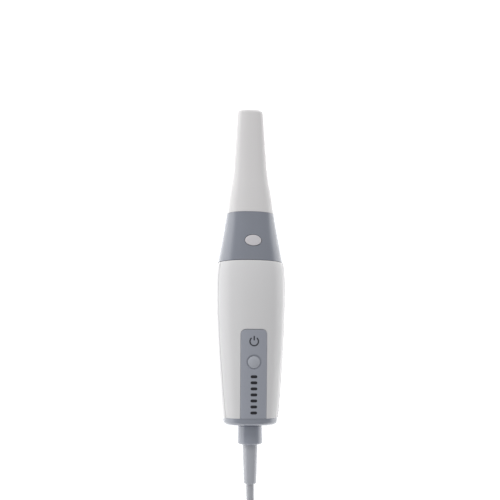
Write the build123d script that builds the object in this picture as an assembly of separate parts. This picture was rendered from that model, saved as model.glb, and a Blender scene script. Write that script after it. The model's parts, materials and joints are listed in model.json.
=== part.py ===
from build123d import *
from functools import cache
import math
import os

# Frame: the wand lies along Y with its tip towards +Y, +X to the right seen from above,
# +Z up, and the floor under its belly at Z = 0. All sizes are millimetres.

# Lengths of the housing's parts, from the tip's end backwards
TIP_LENGTH = 76.0
COLLAR_LENGTH = 35.0
BODY_LENGTH = 111.8
CAP_LENGTH = 5.2
FLANGE_PROUD = 0.7
AXIS_HEIGHT = 22.0

# Sections of the housing: share of the part's own length, half width, rise over the axis,
# drop under the axis, squareness (2 is an ellipse, more is squarer)
TIP_SECTIONS = [
    (0.00, 9.5, 8.0, 8.4, 5.0),
    (0.16, 10.4, 8.3, 8.8, 4.8),
    (0.35, 11.3, 8.9, 9.5, 4.4),
    (0.54, 12.4, 10.0, 10.6, 3.8),
    (0.66, 13.5, 11.0, 11.9, 3.3),
    (0.76, 14.9, 12.2, 13.2, 2.9),
    (0.88, 16.4, 13.4, 14.8, 2.6),
    (1.00, 17.7, 14.6, 16.2, 2.4),
]
COLLAR_SECTIONS = [
    (0.00, 17.7, 14.6, 16.2, 2.4),
    (0.15, 18.5, 15.3, 16.9, 2.37),
    (0.35, 19.7, 16.4, 18.0, 2.34),
    (0.55, 21.0, 17.6, 19.1, 2.31),
    (0.77, 22.5, 18.8, 20.2, 2.28),
    (1.00, 24.1, 20.0, 21.2, 2.25),
]
BODY_SECTIONS = [
    (0.00, 24.5, 20.4, 21.5, 2.25),
    (0.05, 25.3, 21.4, 22.2, 2.25),
    (0.12, 25.7, 22.3, 22.4, 2.25),
    (0.28, 25.7, 22.8, 22.4, 2.25),
    (0.42, 25.15, 22.7, 22.4, 2.25),
    (0.57, 24.3, 22.3, 22.4, 2.25),
    (0.72, 23.2, 21.6, 22.4, 2.25),
    (0.86, 22.1, 20.7, 22.1, 2.25),
    (1.00, 20.8, 19.5, 21.0, 2.25),
]
CAP_SECTIONS = [
    (0.00, 20.4, 19.1, 20.5, 2.25),
    (0.50, 20.3, 19.0, 20.4, 2.25),
    (1.00, 20.1, 18.8, 20.2, 2.25),
]
SECTION_POINTS = 24

# Walls and clearances
TIP_WALL = 1.5
COLLAR_WALL = 2.0
SHELL_WALL = 2.2
NOSE_GAP = 0.35
SEAT_GAP = 0.05
SLIDE_FIT = 0.05
MOVING_GAP = 0.3
EDGE_REACH = 0.01
TIP_END_ROUNDING = 2.0
CAP_EDGE_ROUNDING = 3.2

# Parting line of the two body shells
PARTING_RISE = 9.9
TONGUE_HEIGHT = 1.6
TONGUE_INSET = 1.2
SHADOW_GAP = 0.4
SHADOW_DEPTH = 0.6
SPIGOT_LENGTH = 4.0
SPIGOT_WALL = 1.6

# Tip: mirror and window
MIRROR_LOW = 5.6
MIRROR_WIDTH = 13.0
MIRROR_LENGTH = 14.6
MIRROR_THICKNESS = 1.1
MIRROR_CORNER = 2.0
WINDOW_WIDTH = 13.0
WINDOW_START = 3.6
WINDOW_LENGTH = 13.6
WINDOW_CORNER = 2.0

# Nose that the tip slides over
NOSE_START = 30.0
NOSE_WALL = 1.5
NOSE_ROOT = 9.0
GLASS_THICKNESS = 1.6
GLASS_LEDGE = 1.0
GLASS_RIM = 0.7
SEAL_TO_COLLAR = 6.0
SEAL_WIDTH = 2.0
SEAL_DEPTH = 0.8

# Scan button in the collar
SCAN_INSET = 21.0
SCAN_WIDTH = 11.5
SCAN_LENGTH = 7.8
SCAN_PROUD = 0.25
SCAN_SIDE_GAP = 0.35
SCAN_FLANGE = 1.0
SCAN_FLANGE_THICKNESS = 0.9

# Control panel and its round mode button
PANEL_WIDTH = 18.3
PANEL_LENGTH = 62.6
PANEL_CORNER = 3.3
PANEL_THICKNESS = 1.2
PANEL_PROUD = 0.12
PANEL_GAP = 0.15
MODE_TO_CAP = 39.8
MODE_DIAMETER = 9.0
MODE_RING_DIAMETER = 10.4
MODE_RING_DEPTH = 0.55
MODE_DOME = 0.9
MODE_SIDE_GAP = 0.15
MODE_FLANGE = 0.9
MODE_FLANGE_THICKNESS = 0.9

# Chassis: bench under the optics, tray under the boards, a bulkhead at each end
CHASSIS_FLOOR = 10.0
CHASSIS_PLATE = 2.5
CHASSIS_WALL = 2.0
CHASSIS_WIDTH = 30.0
BENCH_WIDTH = 20.0
TRAY_INSET = 7.0
BULKHEAD_THICKNESS = 3.0
BULKHEAD_TO_CAP = 11.8
WIRE_HOLE_RADIUS = 5.0
RIB_COUNT = 3
RIB_INSET = 13.0
RIB_THICKNESS = 2.0

# Optics
BARREL_RADIUS = 6.2
BARREL_WALL = 0.9
BARREL_INSET = 13.0
BARREL_REACH = 23.0
LENS_THICKNESS = 3.0
LENS_INSET = 2.0
LENS_COUNT = 3
PRISM_SIZE = 13.0
PRISM_GAP = 0.3
PROJECTOR_WIDTH = 22.0
PROJECTOR_HEIGHT = 15.0
PROJECTOR_LENGTH = 34.0
PROJECTOR_LENS_RADIUS = 5.0
PROJECTOR_LENS_LENGTH = 2.0
CAMERA_WIDTH = 7.0
CAMERA_HEIGHT = 11.0

# Boards and switches
BOARD_THICKNESS = 1.6
BOARD_WIDTH = 29.0
BOARD_INSET = 10.0
BOARD_GAP = 2.0
BOARD_HEIGHT = 28.5
PROCESSOR_SIZE = 16.0
PROCESSOR_THICKNESS = 1.4
SPREADER_WIDTH = 24.0
SPREADER_FRONT_GAP = 12.0
SPREADER_REAR_GAP = 10.0
SPREADER_THICKNESS = 1.2
BUTTON_BOARD_WIDTH = 12.0
BUTTON_BOARD_THICKNESS = 1.0
BUTTON_BOARD_HEIGHT = 33.0
SCAN_BOARD_REACH = 6.0
MODE_BOARD_REACH = 9.0
SPACER_RADIUS = 1.6
SPACER_INSET = 5.0
SPACER_SPREAD = 4.0
SWITCH_SIZE = 5.2
SCAN_SWITCH_HEIGHT = 1.2
MODE_SWITCH_HEIGHT = 3.5
PLUNGER_RADIUS = 1.5
PLUNGER_PROUD = 0.3
PLUNGER_LENGTH = 0.6
PLUNGER_FIT = 0.08
RIBBON_WIDTH = 8.0
RIBBON_THICKNESS = 0.3

# Screws
SCREW_RADIUS = 1.0
SCREW_HEAD_RADIUS = 1.9
SCREW_HEAD_HEIGHT = 1.3
SCREW_LENGTH = 7.0
SCREW_FIT = 0.02
BOARD_SCREW_GAP = 4.4
BOARD_SCREW_INSET = 5.0
BOARD_SCREW_SPREAD = 11.5
BOSS_RADIUS = 2.6
CAP_SCREW_CIRCLE = 13.6
CAP_SCREW_ANGLES = (35.0, 145.0, 215.0, 325.0)

# Socket in the end cap
SOCKET_FLANGE_RADIUS = 9.5
SOCKET_BODY_RADIUS = 7.6
SOCKET_BORE_RADIUS = 6.2
SOCKET_LENGTH = 13.0
CAP_WALL = 2.8
NUT_RADIUS = 9.4
NUT_THICKNESS = 2.4
INSULATOR_THICKNESS = 2.6
PIN_COUNT = 8
PIN_RADIUS = 0.5
PIN_FIT = 0.05
PIN_CIRCLE = 3.4
PIN_TAIL = 1.0
PIN_REACH = 5.0

# Plug of the lead and its strain relief
PLUG_GAP = 0.1
PLUG_NOSE_LENGTH = 9.0
PLUG_NOSE_WALL = 1.2
PLUG_INSERT_SUNK = 0.5
PLUG_INSERT_LENGTH = 9.5
PLUG_COLLAR_LENGTH = 13.5
PLUG_COLLAR_RADIUS = 8.4
PLUG_COLLAR_END_RADIUS = 8.75
PLUG_ROUNDING = 0.8
RELIEF_LENGTH = 29.0
RELIEF_RADIUS = 5.0
RELIEF_END_RADIUS = 4.1
RELIEF_ROUNDING = 0.9

# Lead: free stretch, a hank of two runs and two folds, a tail and the standard plug inside the hank
CABLE_RADIUS = 3.0
CABLE_HEIGHT = 3.05
ARC_SHARE = 0.45
HANK_START = -215.0
HANK_RUN = 105.0
HANK_RADIUS = 24.0
HANK_WIDTH = 18.0
HANK_HEIGHT = 11.2
HANK_SHOULDER = 3.0
TIE_PLACE = -290.0
TIE_WIDTH = 12.0
TIE_THICKNESS = 1.0
TIE_CORNER = 3.0
TIE_SLOT_REACH = 6.0
USB_HEIGHT = 3.9
USB_START = (-3.0, -257.5)
USB_RELIEF_LENGTH = 14.0
USB_RELIEF_RADIUS = 3.7
USB_RELIEF_END_RADIUS = 3.3
USB_GRIP_LENGTH = 26.0
USB_GRIP_WIDTH = 15.6
USB_GRIP_THICKNESS = 7.6
USB_GRIP_ROUNDING = 1.8
USB_SHELL_LENGTH = 18.75
USB_SHELL_WIDTH = 12.0
USB_SHELL_THICKNESS = 4.5
USB_SHELL_WALL = 0.3
USB_SHELL_SUNK = 6.0
USB_TONGUE_LENGTH = 17.0
USB_TONGUE_THICKNESS = 1.84
USB_WINDOW_SIZE = 2.3
USB_WINDOW_SPREAD = 2.9
USB_WINDOW_PLACE = 6.5

# Places worked out from the sizes above, as distances from the tip's end
COLLAR_START = TIP_LENGTH
BODY_START = COLLAR_START + COLLAR_LENGTH
CAP_START = BODY_START + BODY_LENGTH
CAP_END = CAP_START + CAP_LENGTH
HANDPIECE_LENGTH = CAP_END + FLANGE_PROUD
PAST_END = 2 * HANDPIECE_LENGTH
OVER_ALL = 3 * AXIS_HEIGHT
ACROSS_ALL = 4 * AXIS_HEIGHT
NOSE_INSET = TIP_WALL + NOSE_GAP
NOSE_END = COLLAR_START + NOSE_ROOT
SPIGOT_INSET = SHELL_WALL + SEAT_GAP
PARTING_HEIGHT = AXIS_HEIGHT + PARTING_RISE
PANEL_START = CAP_START - PANEL_LENGTH
SEAL_POSITION = COLLAR_START - SEAL_TO_COLLAR
SCAN_POSITION = COLLAR_START + SCAN_INSET
MODE_POSITION = CAP_START - MODE_TO_CAP
BENCH_START = NOSE_END + SEAT_GAP
TRAY_START = BODY_START + TRAY_INSET
REAR_BULKHEAD_START = CAP_START - BULKHEAD_TO_CAP
TRAY_END = REAR_BULKHEAD_START + BULKHEAD_THICKNESS
RIB_STEP = (BODY_LENGTH - 2 * RIB_INSET - RIB_THICKNESS) / (RIB_COUNT - 1)
RIB_PLACES = [BODY_START + RIB_INSET + rib * RIB_STEP for rib in range(RIB_COUNT)]
BENCH_TOP = CHASSIS_FLOOR + CHASSIS_PLATE
BARREL_START = NOSE_START + BARREL_INSET
BARREL_END = COLLAR_START + BARREL_REACH
LENS_STEP = (BARREL_END - BARREL_START - 2 * LENS_INSET - LENS_THICKNESS) / (LENS_COUNT - 1)
LENS_PLACES = [BARREL_START + LENS_INSET + lens * LENS_STEP for lens in range(LENS_COUNT)]
PRISM_START = BARREL_END + PRISM_GAP
PRISM_END = PRISM_START + PRISM_SIZE
PRISM_BASE = AXIS_HEIGHT - PRISM_SIZE / 2
PROJECTOR_START = PRISM_END + PRISM_GAP + PROJECTOR_LENS_LENGTH
BOARD_START = BODY_START + BOARD_INSET
BOARD_END = REAR_BULKHEAD_START - BOARD_GAP
BOARD_TOP = BOARD_HEIGHT + BOARD_THICKNESS
BUTTON_BOARD_START = SCAN_POSITION - SCAN_BOARD_REACH
BUTTON_BOARD_END = MODE_POSITION + MODE_BOARD_REACH
SPACER_PLACES = (BOARD_START + SPACER_INSET, MODE_POSITION + SPACER_INSET)
SPREADER_START = SPACER_PLACES[0] + SPREADER_FRONT_GAP
SPREADER_END = SPACER_PLACES[1] - SPREADER_REAR_GAP
PROCESSOR_POSITION = (SPREADER_START + SPREADER_END) / 2
BOARD_SCREW_PLACES = (
    PROJECTOR_START + PROJECTOR_LENGTH + BOARD_SCREW_GAP,
    BOARD_END - BOARD_SCREW_INSET,
)
BUTTON_BOARD_TOP = BUTTON_BOARD_HEIGHT + BUTTON_BOARD_THICKNESS
SCAN_SWITCH_TOP = BUTTON_BOARD_TOP + SCAN_SWITCH_HEIGHT
MODE_SWITCH_TOP = BUTTON_BOARD_TOP + MODE_SWITCH_HEIGHT
CAP_INNER = CAP_END - CAP_WALL
SOCKET_START = CAP_END - SOCKET_LENGTH
INSULATOR_END = SOCKET_START + INSULATOR_THICKNESS
PLUG_START = HANDPIECE_LENGTH + PLUG_GAP
PLUG_NOSE_START = PLUG_START - PLUG_NOSE_LENGTH
PLUG_NOSE_RADIUS = SOCKET_BORE_RADIUS - SLIDE_FIT
PLUG_END = PLUG_START + PLUG_COLLAR_LENGTH
RELIEF_END = PLUG_END + RELIEF_LENGTH
HANK_FOOT = CABLE_HEIGHT - CABLE_RADIUS
HANK_CENTRE = (0.0, HANK_START - HANK_RUN / 2)
USB_SHELL_PLACE = USB_RELIEF_LENGTH + USB_GRIP_LENGTH - USB_SHELL_SUNK


def along(distance):
    """Y of a distance measured back from the tip's end."""
    return HANDPIECE_LENGTH / 2 - distance


# The lead's route: out of the strain relief, over the hank's near fold and down onto its right run
LEAD_ROUTE = [
    (0.0, along(RELIEF_END), AXIS_HEIGHT),
    (0.0, along(RELIEF_END) - 15.0, AXIS_HEIGHT),
    (1.6, -187.0, 21.0),
    (5.4, -202.0, 18.6),
    (10.6, -217.0, 15.3),
    (15.6, -232.0, 12.0),
    (19.4, -247.0, 9.6),
]
# The tail's route: out of the left run and into the plug, which lies between the runs
TAIL_ROUTE = [
    (-18.0, -309.8, CABLE_HEIGHT),
    (-16.2, -300.8, 3.15),
    (-12.8, -292.2, 3.35),
    (-8.2, -284.3, 3.55),
    (-4.7, -275.7, 3.75),
    (USB_START[0], -266.7, USB_HEIGHT),
    (*USB_START, USB_HEIGHT),
]


def section(y, half_width, rise, drop, squareness):
    """Closed outline across the wand: a superellipse about the axis, rise above, drop below."""
    points = []
    for step in range(SECTION_POINTS):
        turn = 2 * math.pi * step / SECTION_POINTS
        across, up = math.cos(turn), math.sin(turn)
        reach = rise if up >= 0 else drop
        size = abs(across / half_width) ** squareness + abs(up / reach) ** squareness
        radius = size ** (-1 / squareness)
        points.append(Vector(radius * across, y, AXIS_HEIGHT + radius * up))
    evenly = [step / SECTION_POINTS for step in range(SECTION_POINTS + 1)]
    return Wire([Edge.make_spline(points, periodic=True, parameters=evenly)])


def skin(start, length, sections, grow):
    """Solid lofted through the sections of one housing part, grown by an even amount."""
    outlines = [
        section(along(start + share * length), wide + grow, rise + grow, drop + grow, square)
        for share, wide, rise, drop, square in sections
    ]
    return Solid.make_loft(outlines)


@cache
def tip_skin(grow=0.0):
    return skin(0.0, TIP_LENGTH, TIP_SECTIONS, grow)


@cache
def collar_skin(grow=0.0):
    return skin(COLLAR_START, COLLAR_LENGTH, COLLAR_SECTIONS, grow)


@cache
def body_skin(grow=0.0):
    return skin(BODY_START, BODY_LENGTH, BODY_SECTIONS, grow)


@cache
def cap_skin(grow=0.0):
    return skin(CAP_START, CAP_LENGTH, CAP_SECTIONS, grow)


def straight_skin(start, end, row, grow):
    """Prism of one section between two distances from the tip's end."""
    wide, rise, drop, square = row[1:]
    outline = section(along(end), wide + grow, rise + grow, drop + grow, square)
    return extrude(make_face(outline.edges()), amount=end - start, dir=(0, 1, 0))


def block(width, start, end, low, high, x=0.0):
    """Box of a width across X, between two distances from the tip and two heights."""
    centre = (x, along((start + end) / 2), (low + high) / 2)
    return Pos(*centre) * Box(width, end - start, high - low)


def slab(start, end, low=-AXIS_HEIGHT, high=OVER_ALL):
    """Box wider than the wand."""
    return block(ACROSS_ALL, start, end, low, high)


def rod(radius, start, end, x=0.0, z=AXIS_HEIGHT):
    """Cylinder along the wand between two distances from the tip's end."""
    middle = Pos(x, along((start + end) / 2), z) * Rot(90, 0, 0)
    return middle * Cylinder(radius, end - start)


def post(radius, place, low, high, x=0.0):
    """Upright cylinder."""
    return Pos(x, along(place), (low + high) / 2) * Cylinder(radius, high - low)


def tower(outline, place, low, high):
    """Upright prism of an outline drawn on XY, between two heights."""
    return Pos(0, along(place), low) * extrude(outline, amount=high - low)


def edges_across(solid, distance):
    """Edges that lie across the wand at one distance from the tip's end."""
    return solid.edges().filter_by_position(
        Axis.Y, along(distance + EDGE_REACH), along(distance - EDGE_REACH)
    )


def group(solids):
    """Separate solids that share one node."""
    return Compound(children=[Solid(part.solid().wrapped) for part in solids])


# Tip that pulls off, with its mirror


def mirror_plane():
    """Plane of the mirror's back: 45 degrees, low at the tip's end and high behind it."""
    low_corner = (0, along(TIP_WALL), AXIS_HEIGHT - MIRROR_LOW)
    return Plane(origin=low_corner, x_dir=(1, 0, 0), z_dir=(0, 1, 1))


def make_tip_sleeve():
    """Tapered sleeve with a rounded end, a solid wedge over the mirror and a window below it."""
    outer = tip_skin()
    end_edges = edges_across(outer, 0)
    outer = fillet(end_edges, TIP_END_ROUNDING)
    wedge = mirror_plane() * Pos(0, 0, TIP_LENGTH / 2) * Box(TIP_LENGTH, TIP_LENGTH, TIP_LENGTH)
    cavity = (tip_skin(-TIP_WALL) & slab(TIP_WALL, TIP_LENGTH)) - wedge
    outline = RectangleRounded(WINDOW_WIDTH, WINDOW_LENGTH, WINDOW_CORNER)
    window = tower(outline, WINDOW_START + WINDOW_LENGTH / 2, 0, AXIS_HEIGHT - MIRROR_LOW)
    return outer - cavity - window


def make_tip_mirror():
    """Flat mirror bonded to the wedge's face."""
    outline = RectangleRounded(MIRROR_WIDTH, MIRROR_LENGTH, MIRROR_CORNER)
    plate = extrude(outline, amount=-MIRROR_THICKNESS)
    low_edge = MIRROR_LENGTH / 2 + MIRROR_THICKNESS + SEAT_GAP
    return mirror_plane() * Pos(0, -low_edge, 0) * plate


# Nose that carries the tip, and the optics in it


def make_nose_tube():
    """Tube that follows the tip's cavity, with a pocket for the glass and a groove for the seal."""
    root_row = TIP_SECTIONS[-1]
    ledge_end = NOSE_START + GLASS_THICKNESS + GLASS_LEDGE
    nose = tip_skin(-NOSE_INSET) & slab(NOSE_START, COLLAR_START)
    nose += straight_skin(COLLAR_START, NOSE_END, root_row, -NOSE_INSET)
    nose -= tip_skin(-NOSE_INSET - NOSE_WALL) & slab(ledge_end, COLLAR_START)
    nose -= straight_skin(COLLAR_START, NOSE_END, root_row, -NOSE_INSET - NOSE_WALL)
    nose -= tip_skin(-NOSE_INSET - GLASS_RIM) & slab(NOSE_START, NOSE_START + GLASS_THICKNESS)
    nose -= tip_skin(-NOSE_INSET - NOSE_WALL - GLASS_LEDGE) & slab(NOSE_START, ledge_end)
    groove = tip_skin() - tip_skin(-NOSE_INSET - SEAL_DEPTH)
    return nose - (groove & slab(SEAL_POSITION, SEAL_POSITION + SEAL_WIDTH))


def make_front_glass():
    glass = tip_skin(-NOSE_INSET - GLASS_RIM - SEAT_GAP)
    return glass & slab(NOSE_START, NOSE_START + GLASS_THICKNESS - SEAT_GAP)


def make_nose_seal():
    """Ring in the nose's groove that just meets the inside of the tip."""
    ring = tip_skin(-TIP_WALL - SLIDE_FIT) - tip_skin(-NOSE_INSET - SEAL_DEPTH + SEAT_GAP)
    return ring & slab(SEAL_POSITION + SEAT_GAP, SEAL_POSITION + SEAL_WIDTH - SEAT_GAP)


def make_lens_barrel():
    bore = rod(BARREL_RADIUS - BARREL_WALL, BARREL_START, BARREL_END)
    return rod(BARREL_RADIUS, BARREL_START, BARREL_END) - bore


def make_relay_lenses():
    radius = BARREL_RADIUS - BARREL_WALL - SEAT_GAP
    return group(rod(radius, place, place + LENS_THICKNESS) for place in LENS_PLACES)


def make_prism_block():
    return block(PRISM_SIZE, PRISM_START, PRISM_END, PRISM_BASE, PRISM_BASE + PRISM_SIZE)


def make_projector_module():
    end = PROJECTOR_START + PROJECTOR_LENGTH
    top = BENCH_TOP + PROJECTOR_HEIGHT
    housing = block(PROJECTOR_WIDTH, PROJECTOR_START, end, BENCH_TOP, top)
    lens_start = PROJECTOR_START - PROJECTOR_LENS_LENGTH
    return housing + rod(PROJECTOR_LENS_RADIUS, lens_start, PROJECTOR_START)


def make_camera_module():
    x = PRISM_SIZE / 2 + PRISM_GAP + CAMERA_WIDTH / 2
    top = PRISM_BASE + CAMERA_HEIGHT
    return block(CAMERA_WIDTH, PRISM_START, PRISM_END, PRISM_BASE, top, x)


# Collar and scan button


def scan_outline(grow=0.0):
    return Ellipse(SCAN_WIDTH / 2 + grow, SCAN_LENGTH / 2 + grow)


def make_front_collar():
    """Grey ring: hollow, a front wall round the nose, a spigot into the body, a button opening."""
    inner_end = BODY_START - BULKHEAD_THICKNESS
    spigot = body_skin(-SPIGOT_INSET) & slab(BODY_START, BODY_START + SPIGOT_LENGTH)
    ring = collar_skin() + spigot
    ring -= collar_skin(-COLLAR_WALL) & slab(COLLAR_START + COLLAR_WALL, inner_end)
    ring -= straight_skin(inner_end, BODY_START, BODY_SECTIONS[0], -SPIGOT_INSET - SPIGOT_WALL)
    ring -= body_skin(-SPIGOT_INSET - SPIGOT_WALL)
    front_end = COLLAR_START + COLLAR_WALL
    ring -= straight_skin(COLLAR_START, front_end, TIP_SECTIONS[-1], SEAT_GAP - NOSE_INSET)
    return ring - tower(scan_outline(SCAN_SIDE_GAP), SCAN_POSITION, AXIS_HEIGHT, OVER_ALL)


def make_scan_button():
    """Oval cap that follows the collar's surface, with a flange inside and a stem to the switch."""
    under_wall = -COLLAR_WALL - MOVING_GAP
    flange_low = under_wall - SCAN_FLANGE_THICKNESS
    cap = collar_skin(SCAN_PROUD) - collar_skin(flange_low)
    cap &= tower(scan_outline(), SCAN_POSITION, AXIS_HEIGHT, OVER_ALL)
    flange = collar_skin(under_wall) - collar_skin(flange_low)
    flange &= tower(scan_outline(SCAN_FLANGE), SCAN_POSITION, AXIS_HEIGHT, OVER_ALL)
    stem_foot = SCAN_SWITCH_TOP + PLUNGER_PROUD + SEAT_GAP
    stem = post(PLUNGER_RADIUS, SCAN_POSITION, stem_foot, OVER_ALL)
    return cap + flange + (stem & collar_skin(flange_low))


# Body shells, panel and mode button


def upright_from(height):
    return slab(0, PAST_END, height)


def make_lower_shell():
    """Lower half: flat strip under the belly, ribs under the chassis, a tongue along the rim."""
    hollow = body_skin() - body_skin(-SHELL_WALL)
    shell = hollow & slab(0, PAST_END, 0, PARTING_HEIGHT)
    shadow = hollow & slab(0, PAST_END, PARTING_HEIGHT - SHADOW_GAP, PARTING_HEIGHT)
    shell -= shadow - body_skin(-SHADOW_DEPTH)
    tongue = body_skin(-TONGUE_INSET - SEAT_GAP) - body_skin(-SHELL_WALL)
    rim = PARTING_HEIGHT - SHADOW_GAP
    shell += tongue & slab(0, PAST_END, rim, PARTING_HEIGHT + TONGUE_HEIGHT)
    for place in RIB_PLACES:
        rib = slab(place, place + RIB_THICKNESS, 0, CHASSIS_FLOOR)
        shell += rib & body_skin(-SHELL_WALL / 2)
    return shell


def panel_prism(grow=0.0):
    """Upright prism of the panel's outline: rounded in front, square at the cap."""
    length = 2 * PANEL_LENGTH
    outline = RectangleRounded(PANEL_WIDTH + 2 * grow, length + 2 * grow, PANEL_CORNER + grow)
    return tower(outline, PANEL_START + PANEL_LENGTH, PARTING_HEIGHT, OVER_ALL)


def make_upper_shell():
    """Upper half: grooved rim over the tongue, a recess for the panel and the button's hole."""
    shell = body_skin() - body_skin(-SHELL_WALL)
    shell &= upright_from(PARTING_HEIGHT)
    groove_top = PARTING_HEIGHT + TONGUE_HEIGHT + SEAT_GAP
    shell -= body_skin(-TONGUE_INSET) & slab(0, PAST_END, 0, groove_top)
    shell -= panel_prism(PANEL_GAP) - body_skin(PANEL_PROUD - PANEL_THICKNESS - SEAT_GAP)
    hole = MODE_DIAMETER / 2 + MOVING_GAP
    return shell - post(hole, MODE_POSITION, PARTING_HEIGHT, OVER_ALL)


def make_control_panel():
    """Grey inlay that follows the shell, with a dished ring round the button."""
    panel = body_skin(PANEL_PROUD) - body_skin(PANEL_PROUD - PANEL_THICKNESS)
    panel &= panel_prism() & slab(0, CAP_START - SEAT_GAP)
    panel -= post(MODE_DIAMETER / 2 + MODE_SIDE_GAP, MODE_POSITION, PARTING_HEIGHT, OVER_ALL)
    ring = post(MODE_RING_DIAMETER / 2, MODE_POSITION, PARTING_HEIGHT, OVER_ALL)
    return panel - (ring - body_skin(PANEL_PROUD - MODE_RING_DEPTH))


def make_mode_button():
    """Domed round cap with a flange under the shell and a stem to the switch."""
    under_wall = -SHELL_WALL - MOVING_GAP
    flange_low = under_wall - MODE_FLANGE_THICKNESS
    radius = MODE_DIAMETER / 2
    surface = body_skin(PANEL_PROUD) & post(radius, MODE_POSITION, PARTING_HEIGHT, OVER_ALL)
    dome_top = surface.bounding_box().max.Z + MODE_DOME - MODE_RING_DEPTH
    dome_radius = (radius**2 + MODE_DOME**2) / (2 * MODE_DOME)
    cap = post(radius, MODE_POSITION, PARTING_HEIGHT, dome_top)
    cap &= Pos(0, along(MODE_POSITION), dome_top - dome_radius) * Sphere(dome_radius)
    cap -= body_skin(flange_low)
    flange = body_skin(under_wall) - body_skin(flange_low)
    flange &= post(radius + MODE_FLANGE, MODE_POSITION, PARTING_HEIGHT, OVER_ALL)
    stem_foot = MODE_SWITCH_TOP + PLUNGER_PROUD + SEAT_GAP
    stem = post(PLUNGER_RADIUS, MODE_POSITION, stem_foot, OVER_ALL)
    return cap + flange + (stem & body_skin(flange_low))


# Chassis and electronics


def make_chassis():
    """Metal carrier: bulkhead behind the nose, optics bench, board tray, bulkhead with posts."""
    bench_plate = BENCH_START + BULKHEAD_THICKNESS
    front = collar_skin(-COLLAR_WALL - SEAT_GAP) & slab(BENCH_START, bench_plate)
    front -= rod(BARREL_RADIUS + SEAT_GAP, BENCH_START, bench_plate)
    front &= slab(BENCH_START, bench_plate, CHASSIS_FLOOR, BUTTON_BOARD_HEIGHT)
    rear = body_skin(-SPIGOT_INSET) & slab(REAR_BULKHEAD_START, TRAY_END)
    rear -= rod(WIRE_HOLE_RADIUS, REAR_BULKHEAD_START, TRAY_END)
    carrier = front + rear
    carrier += block(BENCH_WIDTH, BENCH_START, TRAY_START, CHASSIS_FLOOR, BENCH_TOP)
    carrier += block(CHASSIS_WIDTH, TRAY_START, TRAY_END, CHASSIS_FLOOR, BENCH_TOP)
    seat_width = PRISM_SIZE + 2 * (PRISM_GAP + CAMERA_WIDTH)
    carrier += block(seat_width, PRISM_START, PRISM_END, CHASSIS_FLOOR, PRISM_BASE)
    side = (CHASSIS_WIDTH - CHASSIS_WALL) / 2
    for x in (-side, side):
        carrier += block(CHASSIS_WALL, TRAY_START, TRAY_END, CHASSIS_FLOOR, BOARD_HEIGHT, x)
    for place, x in board_screw_places():
        carrier += post(BOSS_RADIUS, place, CHASSIS_FLOOR, BOARD_HEIGHT, x)
        carrier -= post(SCREW_RADIUS + SCREW_FIT, place, BENCH_TOP, BOARD_HEIGHT, x)
    for x, z in cap_screw_places():
        carrier += rod(BOSS_RADIUS, TRAY_END - BULKHEAD_THICKNESS, CAP_INNER, x, z)
        carrier -= rod(SCREW_RADIUS + SCREW_FIT, TRAY_END, CAP_INNER, x, z)
    return carrier


def board_screw_places():
    return [(y, x) for y in BOARD_SCREW_PLACES for x in (-BOARD_SCREW_SPREAD, BOARD_SCREW_SPREAD)]


def cap_screw_places():
    """X and Z of the four screws round the socket."""
    turns = [math.radians(angle) for angle in CAP_SCREW_ANGLES]
    reach = CAP_SCREW_CIRCLE
    return [(reach * math.cos(t), AXIS_HEIGHT + reach * math.sin(t)) for t in turns]


def make_board_screws():
    """Pan-head screws that hold the main board to the chassis."""
    screws = []
    for place, x in board_screw_places():
        shank = post(SCREW_RADIUS, place, BOARD_TOP - SCREW_LENGTH, BOARD_TOP, x)
        head = post(SCREW_HEAD_RADIUS, place, BOARD_TOP, BOARD_TOP + SCREW_HEAD_HEIGHT, x)
        screws.append(shank + head)
    return group(screws)


def make_cap_screws():
    """Screws sunk in the cap's rear face, into the chassis posts."""
    screws = []
    for x, z in cap_screw_places():
        seat = CAP_END - SCREW_HEAD_HEIGHT
        shank = rod(SCREW_RADIUS, seat - SCREW_LENGTH, seat, x, z)
        screws.append(shank + rod(SCREW_HEAD_RADIUS, seat, CAP_END, x, z))
    return group(screws)


def make_main_board():
    board = block(BOARD_WIDTH, BOARD_START, BOARD_END, BOARD_HEIGHT, BOARD_TOP)
    for place, x in board_screw_places():
        board -= post(SCREW_RADIUS + SCREW_FIT, place, BOARD_HEIGHT, BOARD_TOP, x)
    return board


def centred(position, length):
    return position - length / 2, position + length / 2


def make_processor():
    start, end = centred(PROCESSOR_POSITION, PROCESSOR_SIZE)
    return block(PROCESSOR_SIZE, start, end, BOARD_TOP, BOARD_TOP + PROCESSOR_THICKNESS)


def make_heat_spreader():
    low = BOARD_TOP + PROCESSOR_THICKNESS
    top = low + SPREADER_THICKNESS
    return block(SPREADER_WIDTH, SPREADER_START, SPREADER_END, low, top)


def make_button_board():
    low, high = BUTTON_BOARD_HEIGHT, BUTTON_BOARD_TOP
    return block(BUTTON_BOARD_WIDTH, BUTTON_BOARD_START, BUTTON_BOARD_END, low, high)


def make_board_spacers():
    places = [(y, x) for y in SPACER_PLACES for x in (-SPACER_SPREAD, SPACER_SPREAD)]
    return group(post(SPACER_RADIUS, y, BOARD_TOP, BUTTON_BOARD_HEIGHT, x) for y, x in places)


def make_board_ribbon():
    """Flat flexible strip bent in a half circle from the main board to the button board."""
    radius = (BUTTON_BOARD_TOP - BOARD_TOP) / 2
    centre = (0, along(BUTTON_BOARD_END), BUTTON_BOARD_TOP - radius)
    bend = Cylinder(radius, RIBBON_WIDTH) - Cylinder(radius - RIBBON_THICKNESS, RIBBON_WIDTH)
    bend = Pos(*centre) * Rot(0, 90, 0) * bend
    return bend & slab(BUTTON_BOARD_END, BUTTON_BOARD_END + radius)


def switch_body(place, top):
    start, end = centred(place, SWITCH_SIZE)
    body = block(SWITCH_SIZE, start, end, BUTTON_BOARD_TOP, top)
    return body - post(PLUNGER_RADIUS + PLUNGER_FIT, place, BUTTON_BOARD_TOP, top)


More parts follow.
